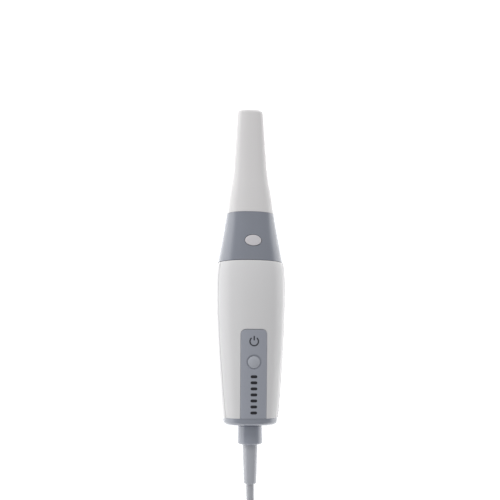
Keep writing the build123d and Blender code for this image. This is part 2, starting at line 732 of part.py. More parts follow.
def plunger(place, top):
    """Plunger that the button pushes down into the switch."""
    return post(PLUNGER_RADIUS, place, top + PLUNGER_PROUD - PLUNGER_LENGTH, top + PLUNGER_PROUD)


# End cap, socket and the plug in it


def make_end_cap():
    """Grey cap: rounded rear edge, a spigot into the body, a socket hole and sunk screw holes."""
    outer = cap_skin()
    cap = fillet(edges_across(outer, CAP_END), CAP_EDGE_ROUNDING)
    cap += body_skin(-SPIGOT_INSET) & slab(CAP_START - SPIGOT_LENGTH, CAP_START)
    inner = BODY_SECTIONS[-1]
    cap -= body_skin(-SPIGOT_INSET - SPIGOT_WALL)
    cap -= straight_skin(CAP_START, CAP_INNER, inner, -SPIGOT_INSET - SPIGOT_WALL)
    cap -= rod(SOCKET_BODY_RADIUS + SEAT_GAP, CAP_INNER, CAP_END)
    for x, z in cap_screw_places():
        cap -= rod(SCREW_RADIUS + SCREW_FIT, CAP_INNER, CAP_END, x, z)
        seat = CAP_END - SCREW_HEAD_HEIGHT
        cap -= rod(SCREW_HEAD_RADIUS + SEAT_GAP, seat, CAP_END, x, z)
    return cap


def make_receptacle():
    """Round socket with a flange on the cap's rear face."""
    shell = rod(SOCKET_BODY_RADIUS, SOCKET_START, CAP_END)
    shell += rod(SOCKET_FLANGE_RADIUS, CAP_END, HANDPIECE_LENGTH)
    return shell - rod(SOCKET_BORE_RADIUS, SOCKET_START, HANDPIECE_LENGTH)


def make_receptacle_nut():
    """Hexagonal nut that clamps the socket from inside the cap."""
    outline = RegularPolygon(NUT_RADIUS, 6)
    plane = Plane(origin=(0, along(CAP_INNER), AXIS_HEIGHT), x_dir=(1, 0, 0), z_dir=(0, 1, 0))
    nut = extrude(plane * outline, amount=NUT_THICKNESS)
    return nut - rod(SOCKET_BODY_RADIUS + SEAT_GAP, CAP_INNER - NUT_THICKNESS, CAP_INNER)


def pin_places():
    turns = [2 * math.pi * pin / PIN_COUNT for pin in range(PIN_COUNT)]
    return [(PIN_CIRCLE * math.cos(t), AXIS_HEIGHT + PIN_CIRCLE * math.sin(t)) for t in turns]


def make_contact_insulator():
    disc = rod(SOCKET_BORE_RADIUS - SEAT_GAP, SOCKET_START, INSULATOR_END)
    for x, z in pin_places():
        disc -= rod(PIN_RADIUS + SCREW_FIT, SOCKET_START, INSULATOR_END, x, z)
    return disc


def make_contact_pins():
    start, end = SOCKET_START - PIN_TAIL, INSULATOR_END + PIN_REACH
    return group(rod(PIN_RADIUS, start, end, x, z) for x, z in pin_places())


def make_plug_body():
    """Grip collar that widens backwards, with a thin-walled nose that enters the socket."""
    collar = Pos(0, along((PLUG_START + PLUG_END) / 2), AXIS_HEIGHT) * Rot(90, 0, 0)
    collar *= Cone(PLUG_COLLAR_RADIUS, PLUG_COLLAR_END_RADIUS, PLUG_COLLAR_LENGTH)
    collar = fillet(edges_across(collar, PLUG_END), PLUG_ROUNDING)
    collar += rod(PLUG_NOSE_RADIUS, PLUG_NOSE_START, PLUG_START)
    insert_end = PLUG_NOSE_START + PLUG_INSERT_SUNK + PLUG_INSERT_LENGTH
    return collar - rod(PLUG_NOSE_RADIUS - PLUG_NOSE_WALL, PLUG_NOSE_START, insert_end)


def make_plug_insert():
    """Contact block in the plug's nose, with a hole for each pin."""
    start = PLUG_NOSE_START + PLUG_INSERT_SUNK
    end = start + PLUG_INSERT_LENGTH - SEAT_GAP
    insert = rod(PLUG_NOSE_RADIUS - PLUG_NOSE_WALL - SEAT_GAP, start, end)
    for x, z in pin_places():
        insert -= rod(PIN_RADIUS + PIN_FIT, start, INSULATOR_END + PIN_REACH + MOVING_GAP, x, z)
    return insert


def make_strain_relief():
    """Tapered sleeve with a rounded end."""
    place = Pos(0, along((PLUG_END + RELIEF_END) / 2), AXIS_HEIGHT) * Rot(90, 0, 0)
    sleeve = place * Cone(RELIEF_RADIUS, RELIEF_END_RADIUS, RELIEF_LENGTH)
    return fillet(edges_across(sleeve, RELIEF_END), RELIEF_ROUNDING)


# Lead


def bend_radii(route):
    """One radius for each corner: as large as its two runs allow."""
    points = [Vector(*point) for point in route]
    radii = []
    for before, corner, after in zip(points, points[1:], points[2:]):
        run = min((corner - before).length, (after - corner).length)
        half_turn = math.radians((corner - before).get_angle(after - corner)) / 2
        radii.append(ARC_SHARE * run / math.tan(half_turn))
    return radii


def cord(route):
    """Round tube along straight runs joined by tangent arcs."""
    path = FilletPolyline(*route, radius=bend_radii(route))
    start = Plane(origin=path @ 0, z_dir=path % 0)
    tube = sweep(start * Circle(CABLE_RADIUS), path=path)
    print("radii", [round(radius) for radius in bend_radii(route)])
    print("length", round(path.length, 1), "volume", round(tube.volume))
    print("section times length", round(math.pi * CABLE_RADIUS**2 * path.length))
    return tube


def tie_block(inset, width, corner):
    """Rounded block across the strands of the hank's right run."""
    plane = Plane(
        origin=(HANK_RADIUS, TIE_PLACE, HANK_FOOT + HANK_HEIGHT / 2), x_dir=(1, 0, 0), z_dir=(0, 1, 0)
    )
    outline = RectangleRounded(HANK_WIDTH - 2 * inset, HANK_HEIGHT - 2 * inset, corner)
    return extrude(plane * outline, amount=width / 2, both=True)


def make_hank_tie():
    """Strap pulled tight round the strands, flush with them."""
    hole = tie_block(TIE_THICKNESS, TIE_WIDTH, TIE_CORNER - TIE_THICKNESS)
    return tie_block(0, TIE_WIDTH, TIE_CORNER) - hole


def make_cable_hank():
    """Outer shape of the folded strands: an oblong ring, narrowed under its strap."""
    loop = SlotCenterToCenter(HANK_RUN, 2 * HANK_RADIUS + HANK_WIDTH)
    loop -= SlotCenterToCenter(HANK_RUN, 2 * HANK_RADIUS - HANK_WIDTH)
    ring = Pos(*HANK_CENTRE, HANK_FOOT) * Rot(0, 0, 90) * extrude(loop, amount=HANK_HEIGHT)
    ring = chamfer(ring.edges().group_by(Axis.Z)[-1], HANK_SHOULDER)
    slot_width = TIE_WIDTH + 2 * SEAT_GAP
    waist = TIE_THICKNESS + SEAT_GAP
    slot = tie_block(-TIE_SLOT_REACH, slot_width, TIE_CORNER)
    slot -= tie_block(waist, slot_width, TIE_CORNER - waist)
    return ring - slot


def make_cable():
    return cord(LEAD_ROUTE)


def make_cable_tail():
    return cord(TAIL_ROUTE)


# Standard plug at the lead's end, lying flat and pointing back towards the wand


def plug_block(start, length, width, thickness, rise=0.0):
    """Box in front of the lead's end, from a distance past it."""
    centre = (USB_START[0], USB_START[1] + start + length / 2, USB_HEIGHT + rise)
    return Pos(*centre) * Box(width, length, thickness)


def make_usb_relief():
    middle = USB_START[1] + USB_RELIEF_LENGTH / 2
    cone = Cone(USB_RELIEF_END_RADIUS, USB_RELIEF_RADIUS, USB_RELIEF_LENGTH)
    return Pos(USB_START[0], middle, USB_HEIGHT) * Rot(-90, 0, 0) * cone


def make_usb_grip():
    """Moulded grip with rounded edges and a pocket for the metal shell."""
    grip = plug_block(USB_RELIEF_LENGTH, USB_GRIP_LENGTH, USB_GRIP_WIDTH, USB_GRIP_THICKNESS)
    grip = fillet(grip.edges(), USB_GRIP_ROUNDING)
    pocket = plug_block(
        USB_SHELL_PLACE, USB_SHELL_SUNK, USB_SHELL_WIDTH + SEAT_GAP, USB_SHELL_THICKNESS + SEAT_GAP
    )
    return grip - pocket


def make_usb_shell():
    """Folded metal tube with two square windows in each broad side."""
    outer = plug_block(USB_SHELL_PLACE, USB_SHELL_LENGTH, USB_SHELL_WIDTH, USB_SHELL_THICKNESS)
    inner_width = USB_SHELL_WIDTH - 2 * USB_SHELL_WALL
    inner_thickness = USB_SHELL_THICKNESS - 2 * USB_SHELL_WALL
    shell = outer - plug_block(USB_SHELL_PLACE, USB_SHELL_LENGTH, inner_width, inner_thickness)
    y = USB_START[1] + USB_SHELL_PLACE + USB_SHELL_SUNK + USB_WINDOW_PLACE
    for side in (-USB_WINDOW_SPREAD, USB_WINDOW_SPREAD):
        window = Box(USB_WINDOW_SIZE, USB_WINDOW_SIZE, 2 * USB_SHELL_THICKNESS)
        shell -= Pos(USB_START[0] + side, y, USB_HEIGHT) * window
    return shell


def make_usb_tongue():
    """Insulator with the contacts, against the upper wall of the shell."""
    width = USB_SHELL_WIDTH - 2 * (USB_SHELL_WALL + SEAT_GAP)
    inner = USB_SHELL_THICKNESS / 2 - USB_SHELL_WALL - SEAT_GAP
    rise = inner - USB_TONGUE_THICKNESS / 2
    return plug_block(USB_SHELL_PLACE, USB_TONGUE_LENGTH, width, USB_TONGUE_THICKNESS, rise)


NODES = {
    "tip_sleeve": make_tip_sleeve,
    "tip_mirror": make_tip_mirror,
    "nose_tube": make_nose_tube,
    "front_glass": make_front_glass,
    "nose_seal": make_nose_seal,
    "lens_barrel": make_lens_barrel,
    "relay_lenses": make_relay_lenses,
    "prism_block": make_prism_block,
    "projector_module": make_projector_module,
    "camera_module": make_camera_module,
    "front_collar": make_front_collar,
    "scan_button": make_scan_button,
    "scan_plunger": lambda: plunger(SCAN_POSITION, SCAN_SWITCH_TOP),
    "scan_switch": lambda: switch_body(SCAN_POSITION, SCAN_SWITCH_TOP),
    "lower_shell": make_lower_shell,
    "upper_shell": make_upper_shell,
    "control_panel": make_control_panel,
    "mode_button": make_mode_button,
    "mode_plunger": lambda: plunger(MODE_POSITION, MODE_SWITCH_TOP),
    "mode_switch": lambda: switch_body(MODE_POSITION, MODE_SWITCH_TOP),
    "chassis": make_chassis,
    "board_screws": make_board_screws,
    "cap_screws": make_cap_screws,
    "main_board": make_main_board,
    "processor": make_processor,
    "heat_spreader": make_heat_spreader,
    "button_board": make_button_board,
    "board_spacers": make_board_spacers,
    "board_ribbon": make_board_ribbon,
    "end_cap": make_end_cap,
    "receptacle": make_receptacle,
    "receptacle_nut": make_receptacle_nut,
    "contact_insulator": make_contact_insulator,
    "contact_pins": make_contact_pins,
    "plug_body": make_plug_body,
    "plug_insert": make_plug_insert,
    "strain_relief": make_strain_relief,
    "cable": make_cable,
    "cable_hank": make_cable_hank,
    "hank_tie": make_hank_tie,
    "cable_tail": make_cable_tail,
    "usb_relief": make_usb_relief,
    "usb_grip": make_usb_grip,
    "usb_shell": make_usb_shell,
    "usb_tongue": make_usb_tongue,
}

os.makedirs("parts", exist_ok=True)
for name, make in NODES.items():
    export_step(make(), f"parts/{name}.step")
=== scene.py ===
import json
import math

import bpy
import numpy as np
from mathutils import Matrix, Vector


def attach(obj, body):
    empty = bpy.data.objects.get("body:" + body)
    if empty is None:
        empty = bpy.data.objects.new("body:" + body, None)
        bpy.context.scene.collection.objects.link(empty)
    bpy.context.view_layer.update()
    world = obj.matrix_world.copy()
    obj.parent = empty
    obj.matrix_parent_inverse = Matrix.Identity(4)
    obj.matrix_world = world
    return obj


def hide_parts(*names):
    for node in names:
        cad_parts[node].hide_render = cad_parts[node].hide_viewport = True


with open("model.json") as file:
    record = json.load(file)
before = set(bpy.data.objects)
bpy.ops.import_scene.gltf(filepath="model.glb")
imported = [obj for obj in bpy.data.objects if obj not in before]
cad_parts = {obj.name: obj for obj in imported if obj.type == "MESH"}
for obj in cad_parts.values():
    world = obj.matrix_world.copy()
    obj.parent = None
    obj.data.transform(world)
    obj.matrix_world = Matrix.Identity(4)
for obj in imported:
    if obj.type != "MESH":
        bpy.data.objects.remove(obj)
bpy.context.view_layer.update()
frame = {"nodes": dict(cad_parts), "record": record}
nodes = frame["nodes"]

# The wand lies along Y with its tip towards +Y, buttons up, its belly on the floor at Z = 0.
# Tables and shapes are in millimetres, and are brought to metres when their mesh or curve is made. The camera, the
# lead's length and diameter, the floor and the light are in metres.
MM = 0.001
AXIS_HEIGHT = 22.0

# Camera: over the wand's rear half, turned a little about the wand's axis, with its picture moved along to hold it all
VIEW_HEIGHT = 500.0 * MM
VIEW_ROLL = math.radians(7.5)
VIEW_PLACE_Y = -76.0 * MM
VIEW_WIDTH = 365.0 * MM
VIEW_SHIFT = 0.2453


def in_scene(name, data):
    """New object of that data, put in the scene."""
    made = bpy.data.objects.new(name, data)
    bpy.context.scene.collection.objects.link(made)
    return made


def make_camera():
    """Camera whose picture keeps the wand's axis upright and in the middle."""
    forward = Vector((math.sin(VIEW_ROLL), 0.0, -math.cos(VIEW_ROLL)))
    up = Vector((0.0, 1.0, 0.0))
    right = forward.cross(up)
    away = VIEW_HEIGHT / math.cos(VIEW_ROLL)
    data = bpy.data.cameras.new("camera")
    data.angle = 2 * math.atan(VIEW_WIDTH / 2 / away)
    data.shift_y = VIEW_SHIFT
    data.clip_start = 0.01
    camera = in_scene("camera", data)
    place = Vector((0.0, VIEW_PLACE_Y, AXIS_HEIGHT * MM)) - away * forward
    camera.matrix_world = Matrix.Translation(place) @ Matrix((right, up, -forward)).transposed().to_4x4()
    bpy.context.scene.camera = camera


# Shader groups: the range of most of a noise's values, the fineness of the smudges and of the tape's fibres, and a
# streak's width over its length

NOISE_RANGE = (0.3, 0.7)
SMUDGE_SCALE = 95.0
FIBRE_SCALE = 60.0
STREAK_STRETCH = 0.04


def new_group(name, colours, values, results):
    """Node group: its tree, what it is given by name (colours, then values) and what it puts out.

    It puts out a colour and the named results."""
    tree = bpy.data.node_groups.new(name, "ShaderNodeTree")
    for way, kind, labels in (
        ("INPUT", "NodeSocketColor", colours), ("INPUT", "NodeSocketFloat", values),
        ("OUTPUT", "NodeSocketColor", ["Colour"]), ("OUTPUT", "NodeSocketFloat", results),
    ):
        for label in labels:
            tree.interface.new_socket(label, in_out=way, socket_type=kind)
    return tree, tree.nodes.new("NodeGroupInput").outputs, tree.nodes.new("NodeGroupOutput").inputs


def put(tree, kind, settings=(), **values):
    """New node with its settings and its sockets' values, each a plain value or another node's output.

    A socket goes by its name, or by its number, as _0."""
    node = tree.nodes.new(kind)
    for key, value in dict(settings).items():
        setattr(node, key, value)
    for key, value in values.items():
        label = key.replace("_", " ")
        socket = node.inputs[int(key[1:])] if key[1:].isdigit() else node.inputs[label]
        if isinstance(value, bpy.types.NodeSocket):
            tree.links.new(value, socket)
        else:
            socket.default_value = value
    return node


def noise(tree, place, scale, detail):
    """Cloudy value from 0 to 1 at a place."""
    return put(tree, "ShaderNodeTexNoise", Vector=place, Scale=scale, Detail=detail).outputs["Fac"]


def math_node(tree, operation, first, second):
    """Result of one sum on two values."""
    return put(tree, "ShaderNodeMath", {"operation": operation}, _0=first, _1=second).outputs[0]


def times_plus(tree, value, factor, more):
    """The value times a factor, plus one more."""
    return put(tree, "ShaderNodeMath", {"operation": "MULTIPLY_ADD"}, _0=value, _1=factor, _2=more).outputs[0]


def blend_colours(tree, share, first, second):
    """The first colour at share 0, the second at share 1."""
    return put(tree, "ShaderNodeMix", {"data_type": "RGBA"}, _0=share, _6=first, _7=second).outputs[2]


def spread_range(tree, value, low, high, to_low, to_high):
    """Value moved evenly from one range to another, and held at its ends."""
    node = put(tree, "ShaderNodeMapRange", Value=value, From_Min=low, From_Max=high, To_Min=to_low, To_Max=to_high)
    return node.outputs[0]


def make_moulded_group():
    """Moulded surface: broad cloudy shading, soft smudges in the gloss and a fine even grain."""
    tree, given, out = new_group(
        "moulded_surface", ["Colour", "Shade"], ["Cloud scale", "Grain scale", "Gloss", "Smudge"],
        ["Roughness", "Height"],
    )
    place = put(tree, "ShaderNodeTexCoord").outputs["Object"]
    cloud = spread_range(tree, noise(tree, place, given["Cloud scale"], 3.0), *NOISE_RANGE, 0.0, 1.0)
    grain = noise(tree, place, given["Grain scale"], 1.0)
    smudge = noise(tree, place, SMUDGE_SCALE, 5.0)
    share = math_node(tree, "ADD", cloud, spread_range(tree, grain, 0.25, 0.75, 0.0, 0.25))
    rough = math_node(tree, "MULTIPLY", math_node(tree, "SUBTRACT", smudge, 0.5), given["Smudge"])
    tree.links.new(blend_colours(tree, share, given["Colour"], given["Shade"]), out["Colour"])
    tree.links.new(math_node(tree, "ADD", given["Gloss"], rough), out["Roughness"])
    tree.links.new(grain, out["Height"])
    return tree


def make_streak_group():
    """Drawn or brushed metal: long thin streaks along the wand."""
    tree, given, out = new_group(
        "drawn_streaks", ["Colour", "Shade"], ["Streak scale", "Gloss"], ["Roughness", "Height"],
    )
    place = put(tree, "ShaderNodeTexCoord").outputs["Object"]
    long = put(tree, "ShaderNodeMapping", Vector=place, Scale=(1.0, STREAK_STRETCH, 1.0)).outputs[0]
    streak = noise(tree, long, given["Streak scale"], 4.0)
    share = spread_range(tree, streak, *NOISE_RANGE, 0.0, 1.0)
    rough = math_node(tree, "MULTIPLY", math_node(tree, "SUBTRACT", streak, 0.4), 0.35)
    tree.links.new(blend_colours(tree, share, given["Colour"], given["Shade"]), out["Colour"])
    tree.links.new(math_node(tree, "ADD", given["Gloss"], rough), out["Roughness"])
    tree.links.new(streak, out["Height"])
    return tree


def make_weave_group():
    """Plain weave on the piece's own UV map: warp and weft ribs that pass over each other in turn."""
    tree, given, out = new_group("narrow_weave", ["Colour", "Thread"], ["Threads"], ["Height"])
    place = put(tree, "ShaderNodeUVMap").outputs["UV"]
    rate = math_node(tree, "MULTIPLY", given["Threads"], math.pi)
    parts = put(tree, "ShaderNodeSeparateXYZ", Vector=place).outputs
    warp = math_node(tree, "SINE", math_node(tree, "MULTIPLY", parts["X"], rate), 0.0)
    weft = math_node(tree, "SINE", math_node(tree, "MULTIPLY", parts["Y"], rate), 0.0)
    height = spread_range(tree, math_node(tree, "MULTIPLY", warp, weft), -1.0, 1.0, 0.0, 1.0)
    fibre = noise(tree, place, FIBRE_SCALE, 4.0)
    share = math_node(tree, "MULTIPLY", height, spread_range(tree, fibre, 0.2, 0.8, 0.5, 1.2))
    tree.links.new(blend_colours(tree, share, given["Colour"], given["Thread"]), out["Colour"])
    tree.links.new(height, out["Height"])
    return tree


def new_material(name):
    """Material with its node tree and its shader."""
    material = bpy.data.materials.new(name)
    material.use_nodes = True
    return material, material.node_tree, material.node_tree.nodes["Principled BSDF"]


def surfaced(name, group_tree, depth, constants, **values):
    """Material whose colour, roughness and raised detail, of a depth in millimetres, come from a shader group.

    Values are the group's, and constants are the shader's own plain ones."""
    material, tree, shader = new_material(name)
    group = put(tree, "ShaderNodeGroup", {"node_tree": group_tree}, **values).outputs
    raised = put(tree, "ShaderNodeBump", Strength=1.0, Distance=depth * MM, Height=group["Height"])
    tree.links.new(raised.outputs["Normal"], shader.inputs["Normal"])
    tree.links.new(group["Colour"], shader.inputs["Base Color"])
    if "Roughness" in group:
        tree.links.new(group["Roughness"], shader.inputs["Roughness"])
    for key, value in constants.items():
        shader.inputs[key.replace("_", " ")].default_value = value
    return material


moulded_group = make_moulded_group()
streak_group = make_streak_group()
weave_group = make_weave_group()


def moulded(name, colour, shade, gloss, smudge=0.08, cloud=28.0, grain=2400.0, depth=0.006, **constants):
    """Moulded plastic, rubber, glass or coated metal."""
    return surfaced(
        name, moulded_group, depth, constants, Colour=(*colour, 1), Shade=(*shade, 1), Cloud_scale=cloud,
        Grain_scale=grain, Gloss=gloss, Smudge=smudge,
    )


def drawn_metal(name, colour, shade, gloss, streaks, depth=0.004):
    """Bare drawn or brushed metal."""
    return surfaced(
        name, streak_group, depth, {"Metallic": 1.0}, Colour=(*colour, 1), Shade=(*shade, 1),
        Streak_scale=streaks, Gloss=gloss,
    )


def woven(name, colour, thread, threads=1.6, gloss=0.85, sheen=0.3, depth=0.12):
    """Woven tape, with its threads counted per millimetre."""
    return surfaced(
        name, weave_group, depth, {"Roughness": gloss, "Sheen_Weight": sheen}, Colour=(*colour, 1),
        Thread=(*thread, 1), Threads=threads,
    )


# Moulded finishes: colour, cloudy second shade, roughness, and what differs from the usual
MOULDED_FINISHES = {
    "white_shell": ((0.782, 0.779, 0.788), (0.772, 0.769, 0.779), 0.25, {"Specular_IOR_Level": 0.35}),
    "tip_white": ((0.786, 0.772, 0.776), (0.776, 0.764, 0.769), 0.22, {"Specular_IOR_Level": 0.4}),
    # The collar, the end cap and the wand's plug are one grey. The copies for the cap and the plug are lighter,
    # painted light that makes up for the shade on them, and the collar's is kept a little darker where the key light
    # falls on its slope.
    "grey_trim": ((0.262, 0.28, 0.329), (0.251, 0.269, 0.317), 0.22, {"IOR": 1.6}),
    "cap_grey_painted_light": ((0.305, 0.325, 0.38), (0.292, 0.312, 0.366), 0.22, {"IOR": 1.6}),
    "plug_grey_painted_light": ((0.345, 0.367, 0.428), (0.33, 0.352, 0.412), 0.24, {"IOR": 1.6}),
    "panel_grey": ((0.385, 0.405, 0.465), (0.372, 0.392, 0.45), 0.34, {"grain": 1500.0, "depth": 0.012}),
    "button_grey": ((0.72, 0.70, 0.73), (0.69, 0.67, 0.70), 0.25, {}),
    "mode_grey": ((0.47, 0.49, 0.54), (0.452, 0.472, 0.522), 0.36, {"Specular_IOR_Level": 0.2}),
    "nose_metal": ((0.05, 0.05, 0.055), (0.04, 0.04, 0.045), 0.38, {"Metallic": 1.0}),
    "optical_glass": (
        (0.86, 0.92, 0.94), (0.84, 0.9, 0.93), 0.03,
        {"smudge": 0.02, "depth": 0.0005, "Transmission_Weight": 1.0, "IOR": 1.52},
    ),
    "mirror_face": ((0.92, 0.93, 0.94), (0.9, 0.91, 0.92), 0.03, {"smudge": 0.03, "depth": 0.0005, "Metallic": 1.0}),
    "module_black": ((0.03, 0.03, 0.033), (0.022, 0.022, 0.025), 0.5, {}),
    "board_green": ((0.02, 0.16, 0.07), (0.015, 0.11, 0.05), 0.3, {"cloud": 300.0}),
    "seal_rubber": ((0.04, 0.04, 0.045), (0.03, 0.03, 0.035), 0.6, {}),
    "relief_rubber": (
        (0.478, 0.495, 0.54), (0.458, 0.475, 0.52), 0.26, {"grain": 1600.0, "depth": 0.012, "IOR": 1.6},
    ),
    "cable_jacket": (
        (0.475, 0.488, 0.525), (0.455, 0.468, 0.505), 0.26,
        {"cloud": 60.0, "grain": 1600.0, "depth": 0.01, "IOR": 1.6},
    ),
    "mark_dark": ((0.008, 0.008, 0.014), (0.012, 0.012, 0.018), 0.45, {}),
    "mark_soft": ((0.04, 0.043, 0.055), (0.05, 0.053, 0.065), 0.45, {}),
}
# Drawn metals: colour, second shade, roughness and fineness of the streaks
DRAWN_FINISHES = {
    "chassis_metal": ((0.62, 0.63, 0.64), (0.5, 0.51, 0.52), 0.35, 900.0),
    "steel": ((0.26, 0.26, 0.265), (0.19, 0.19, 0.195), 0.3, 2200.0),
    "contact_gold": ((0.83, 0.62, 0.28), (0.7, 0.5, 0.2), 0.22, 900.0),
}
# Solids whose finish isn't the one of their slot: the end cap takes a lighter copy of the trim grey, painted light
# against the shade on it
OTHER_FINISHES = {"end_cap": "cap_grey_painted_light"}

finishes = {name: moulded(name, *looks, **more) for name, (*looks, more) in MOULDED_FINISHES.items()}
finishes |= {name: drawn_metal(name, *looks) for name, looks in DRAWN_FINISHES.items()}
finishes["tie_fabric"] = woven("tie_fabric", (0.012, 0.012, 0.014), (0.05, 0.05, 0.055))

for part in frame["record"]["subparts"]:
    node = nodes[part["node"]]
    node.data.materials.clear()
    node.data.materials.append(finishes[OTHER_FINISHES.get(part["node"], part["material_slot"])])


# Lead: the route's points as in the solid tube, then the hank's strands, then the tail

CABLE_DIAMETER = 6.0 * MM
LEAD_ROUTE = [
    (0.0, -156.95, 22.0),
    (0.0, -171.95, 22.0),
    (1.6, -187.0, 21.0),
    (5.4, -202.0, 18.6),
    (10.6, -217.0, 15.3),
    (15.6, -232.0, 12.0),
    (19.4, -247.0, 9.6),
]
TAIL_ROUTE = [
    (-18.0, -309.8, 3.05),
    (-16.2, -300.8, 3.15),
    (-12.8, -292.2, 3.35),
    (-8.2, -284.3, 3.55),
    (-4.7, -275.7, 3.75),
    (-3.0, -266.7, 3.9),
    (-3.0, -257.5, 3.9),
]
NEAR_FOLD_Y = -215.0
FAR_FOLD_Y = -320.0
LOW_LAYER = 3.05
HIGH_LAYER = 8.25
# Distance from the hank's middle line and height of each lap, in the order that the lead takes
LAPS = [(21.0, HIGH_LAYER), (27.0, HIGH_LAYER), (30.0, LOW_LAYER), (24.0, LOW_LAYER), (18.0, LOW_LAYER)]
# Where each lap moves over to the next one's place, as stations of its round
SHIFTS = [(2.72, 3.1), (2.55, 2.9), (2.35, 2.7), (2.15, 2.5)]
RUN_POINTS = 5
FOLD_POINTS = 12
# Where the first lap begins and the last one ends, as stations
FIRST_STATION = 0.45
LAST_STATION = 2.1
# The strands rise a little where they pass through the strap: its place, their lift and how far along it reaches
TIE_Y = -290.0
TIE_LIFT = 1.1
TIE_REACH = 14.0


def smooth(x):
    """Soft step from 0 to 1: three squares less two cubes."""
    x = np.clip(x, 0.0, 1.0)
    return x * x * (3 - 2 * x)


def hank_place(lap, station):
    """Point of the hank's line: back along the right run, round the far fold, up the left run, round the near fold.

    A round has four stations. Each lap keeps its distance from the middle and its height, and slips
    into the next lap's place along a short smooth step, each lap a little sooner than the one before."""
    away, height = LAPS[lap]
    if lap < len(SHIFTS):
        begin, finish = SHIFTS[lap]
        step = smooth((station - begin) / (finish - begin))
        away += (LAPS[lap + 1][0] - away) * step
        height += (LAPS[lap + 1][1] - height) * step
    run = FAR_FOLD_Y - NEAR_FOLD_Y
    if station < 1:
        x, y = away, NEAR_FOLD_Y + run * station
    elif station < 2:
        turn = -math.pi * (station - 1)
        x, y = away * math.cos(turn), FAR_FOLD_Y + away * math.sin(turn)
    elif station < 3:
        x, y = -away, FAR_FOLD_Y - run * (station - 2)
    else:
        turn = math.pi - math.pi * (station - 3)
        x, y = away * math.cos(turn), NEAR_FOLD_Y + away * math.sin(turn)
    if x > 0:
        height += TIE_LIFT * math.exp(-(((y - TIE_Y) / TIE_REACH) ** 2))
    return x, y, height


def hank_points():
    """Control points of all laps, from the first station to the last."""
    stations = [
        quarter + step / count
        for quarter, count in ((0, RUN_POINTS), (1, FOLD_POINTS), (2, RUN_POINTS), (3, FOLD_POINTS))
        for step in range(count)
    ]
    last = len(LAPS) - 1
    return [
        hank_place(lap, station)
        for lap in range(len(LAPS))
        for station in stations
        if not (lap == 0 and station < FIRST_STATION) and not (lap == last and station > LAST_STATION)
    ]


def make_lead():
    """The free lead, one smooth NURBS curve from the strain relief to the USB plug."""
    points = [tuple(MM * c for c in p) for p in LEAD_ROUTE + hank_points() + TAIL_ROUTE]
    curve = bpy.data.curves.new("lead", "CURVE")
    curve.dimensions = "3D"
    curve.bevel_depth = CABLE_DIAMETER / 2
    curve.bevel_resolution = 6
    curve.resolution_u = 6
    curve.use_fill_caps = True
    spline = curve.splines.new("NURBS")
    spline.points.add(len(points) - 1)
    for point, place in zip(spline.points, points):
        point.co = (*place, 1.0)
    spline.order_u = 3
    spline.use_endpoint_u = True
    curve.materials.append(finishes["cable_jacket"])
    lead = in_scene("lead", curve)
    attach(lead, "lead")
    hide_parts("cable", "cable_hank", "cable_tail")


# Meshes from whole arrays of points; an edge sharper than this angle isn't shaded smooth

SHARP_ANGLE = math.radians(40)


def grid_faces(rows, columns, closed_rows=False, closed_columns=False):
    """Quads between the points of a grid, joined round where it closes."""
    row, column = np.meshgrid(
        np.arange(rows if closed_rows else rows - 1), np.arange(columns if closed_columns else columns - 1),
        indexing="ij",
    )
    next_row, next_column = (row + 1) % rows, (column + 1) % columns
    corners = [row * columns + column, row * columns + next_column,
               next_row * columns + next_column, next_row * columns + column]
    return np.stack(corners, -1).reshape(-1, 4)


def ring_solid(rings, hollow=False):
    """Closed rings joined in turn; the first and last end in a fan to a middle point, or join each other."""
    count, columns = rings.shape[:2]
    points = rings.reshape(-1, 3)
    faces = [grid_faces(count, columns, closed_rows=hollow, closed_columns=True)]
    if not hollow:
        first = np.arange(columns)
        last = first + (count - 1) * columns
        middle = np.full(columns, len(points))
        faces.append(np.stack([np.roll(first, -1), first, middle], -1))
        faces.append(np.stack([last, np.roll(last, -1), middle + 1], -1))
        points = np.vstack([points, rings[0].mean(0), rings[-1].mean(0)])
    return points, faces


def walled_solid(outer, inner):
    """Wall between two grids of one size: both faces, and a strip along the border."""
    rows, columns = outer.shape[:2]
    count = rows * columns
    across, down = np.arange(columns), np.arange(rows)
    border = np.concatenate([
        across[:-1], down[:-1] * columns + columns - 1, (rows - 1) * columns + across[:0:-1], down[:0:-1] * columns,
    ])
    beyond = np.roll(border, -1)
    face = grid_faces(rows, columns)
    strip = np.stack([beyond, border, border + count, beyond + count], -1)
    return np.vstack([outer.reshape(-1, 3), inner.reshape(-1, 3)]), [face, face[:, ::-1] + count, strip]


def add_piece(name, solid, finish, body, replaced=()):
    """Mesh object with its faces outwards, riding on its body and standing for its nodes.

    A solid is its points, its blocks of faces and, on the strap, a UV place for each point."""
    points, faces, *uv = solid
    quads = [block[:, [0, 1, 2]] for block in faces] + [block[:, [0, 2, 3]] for block in faces if block.shape[1] == 4]
    a, b, c = (points[np.vstack(quads)[:, corner]] for corner in range(3))
    if np.einsum("ij,ij->i", a, np.cross(b, c)).sum() < 0:
        faces = [block[:, ::-1] for block in faces]
    mesh = bpy.data.meshes.new(name)
    mesh.from_pydata((points * MM).tolist(), [], [face for block in faces for face in block.tolist()])
    mesh.update()
    if uv:
        layer = mesh.uv_layers.new(name="UVMap")
        corner = np.zeros(len(mesh.loops), dtype=np.int32)
        mesh.loops.foreach_get("vertex_index", corner)
        layer.data.foreach_set("uv", uv[0][corner].astype(np.float32).ravel())
    mesh.shade_smooth()
    mesh.set_sharp_from_angle(angle=SHARP_ANGLE)
    mesh.materials.append(finishes[finish])
    piece = in_scene(name, mesh)
    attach(piece, body)
    if replaced:
        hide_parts(*replaced)
    return piece


# Skin of the housing

COLLAR_FRONT = 38.35
COLLAR_LENGTH = 35.0
BODY_FRONT = 3.35
BODY_LENGTH = 111.8
BODY_REAR = BODY_FRONT - BODY_LENGTH
SHELL_FRONT = BODY_FRONT - 0.35
PARTING_HEIGHT = 31.9
PARTING_GAP = 0.24
SHELL_WALL = 1.75
SEAM_ROUNDING = 0.5

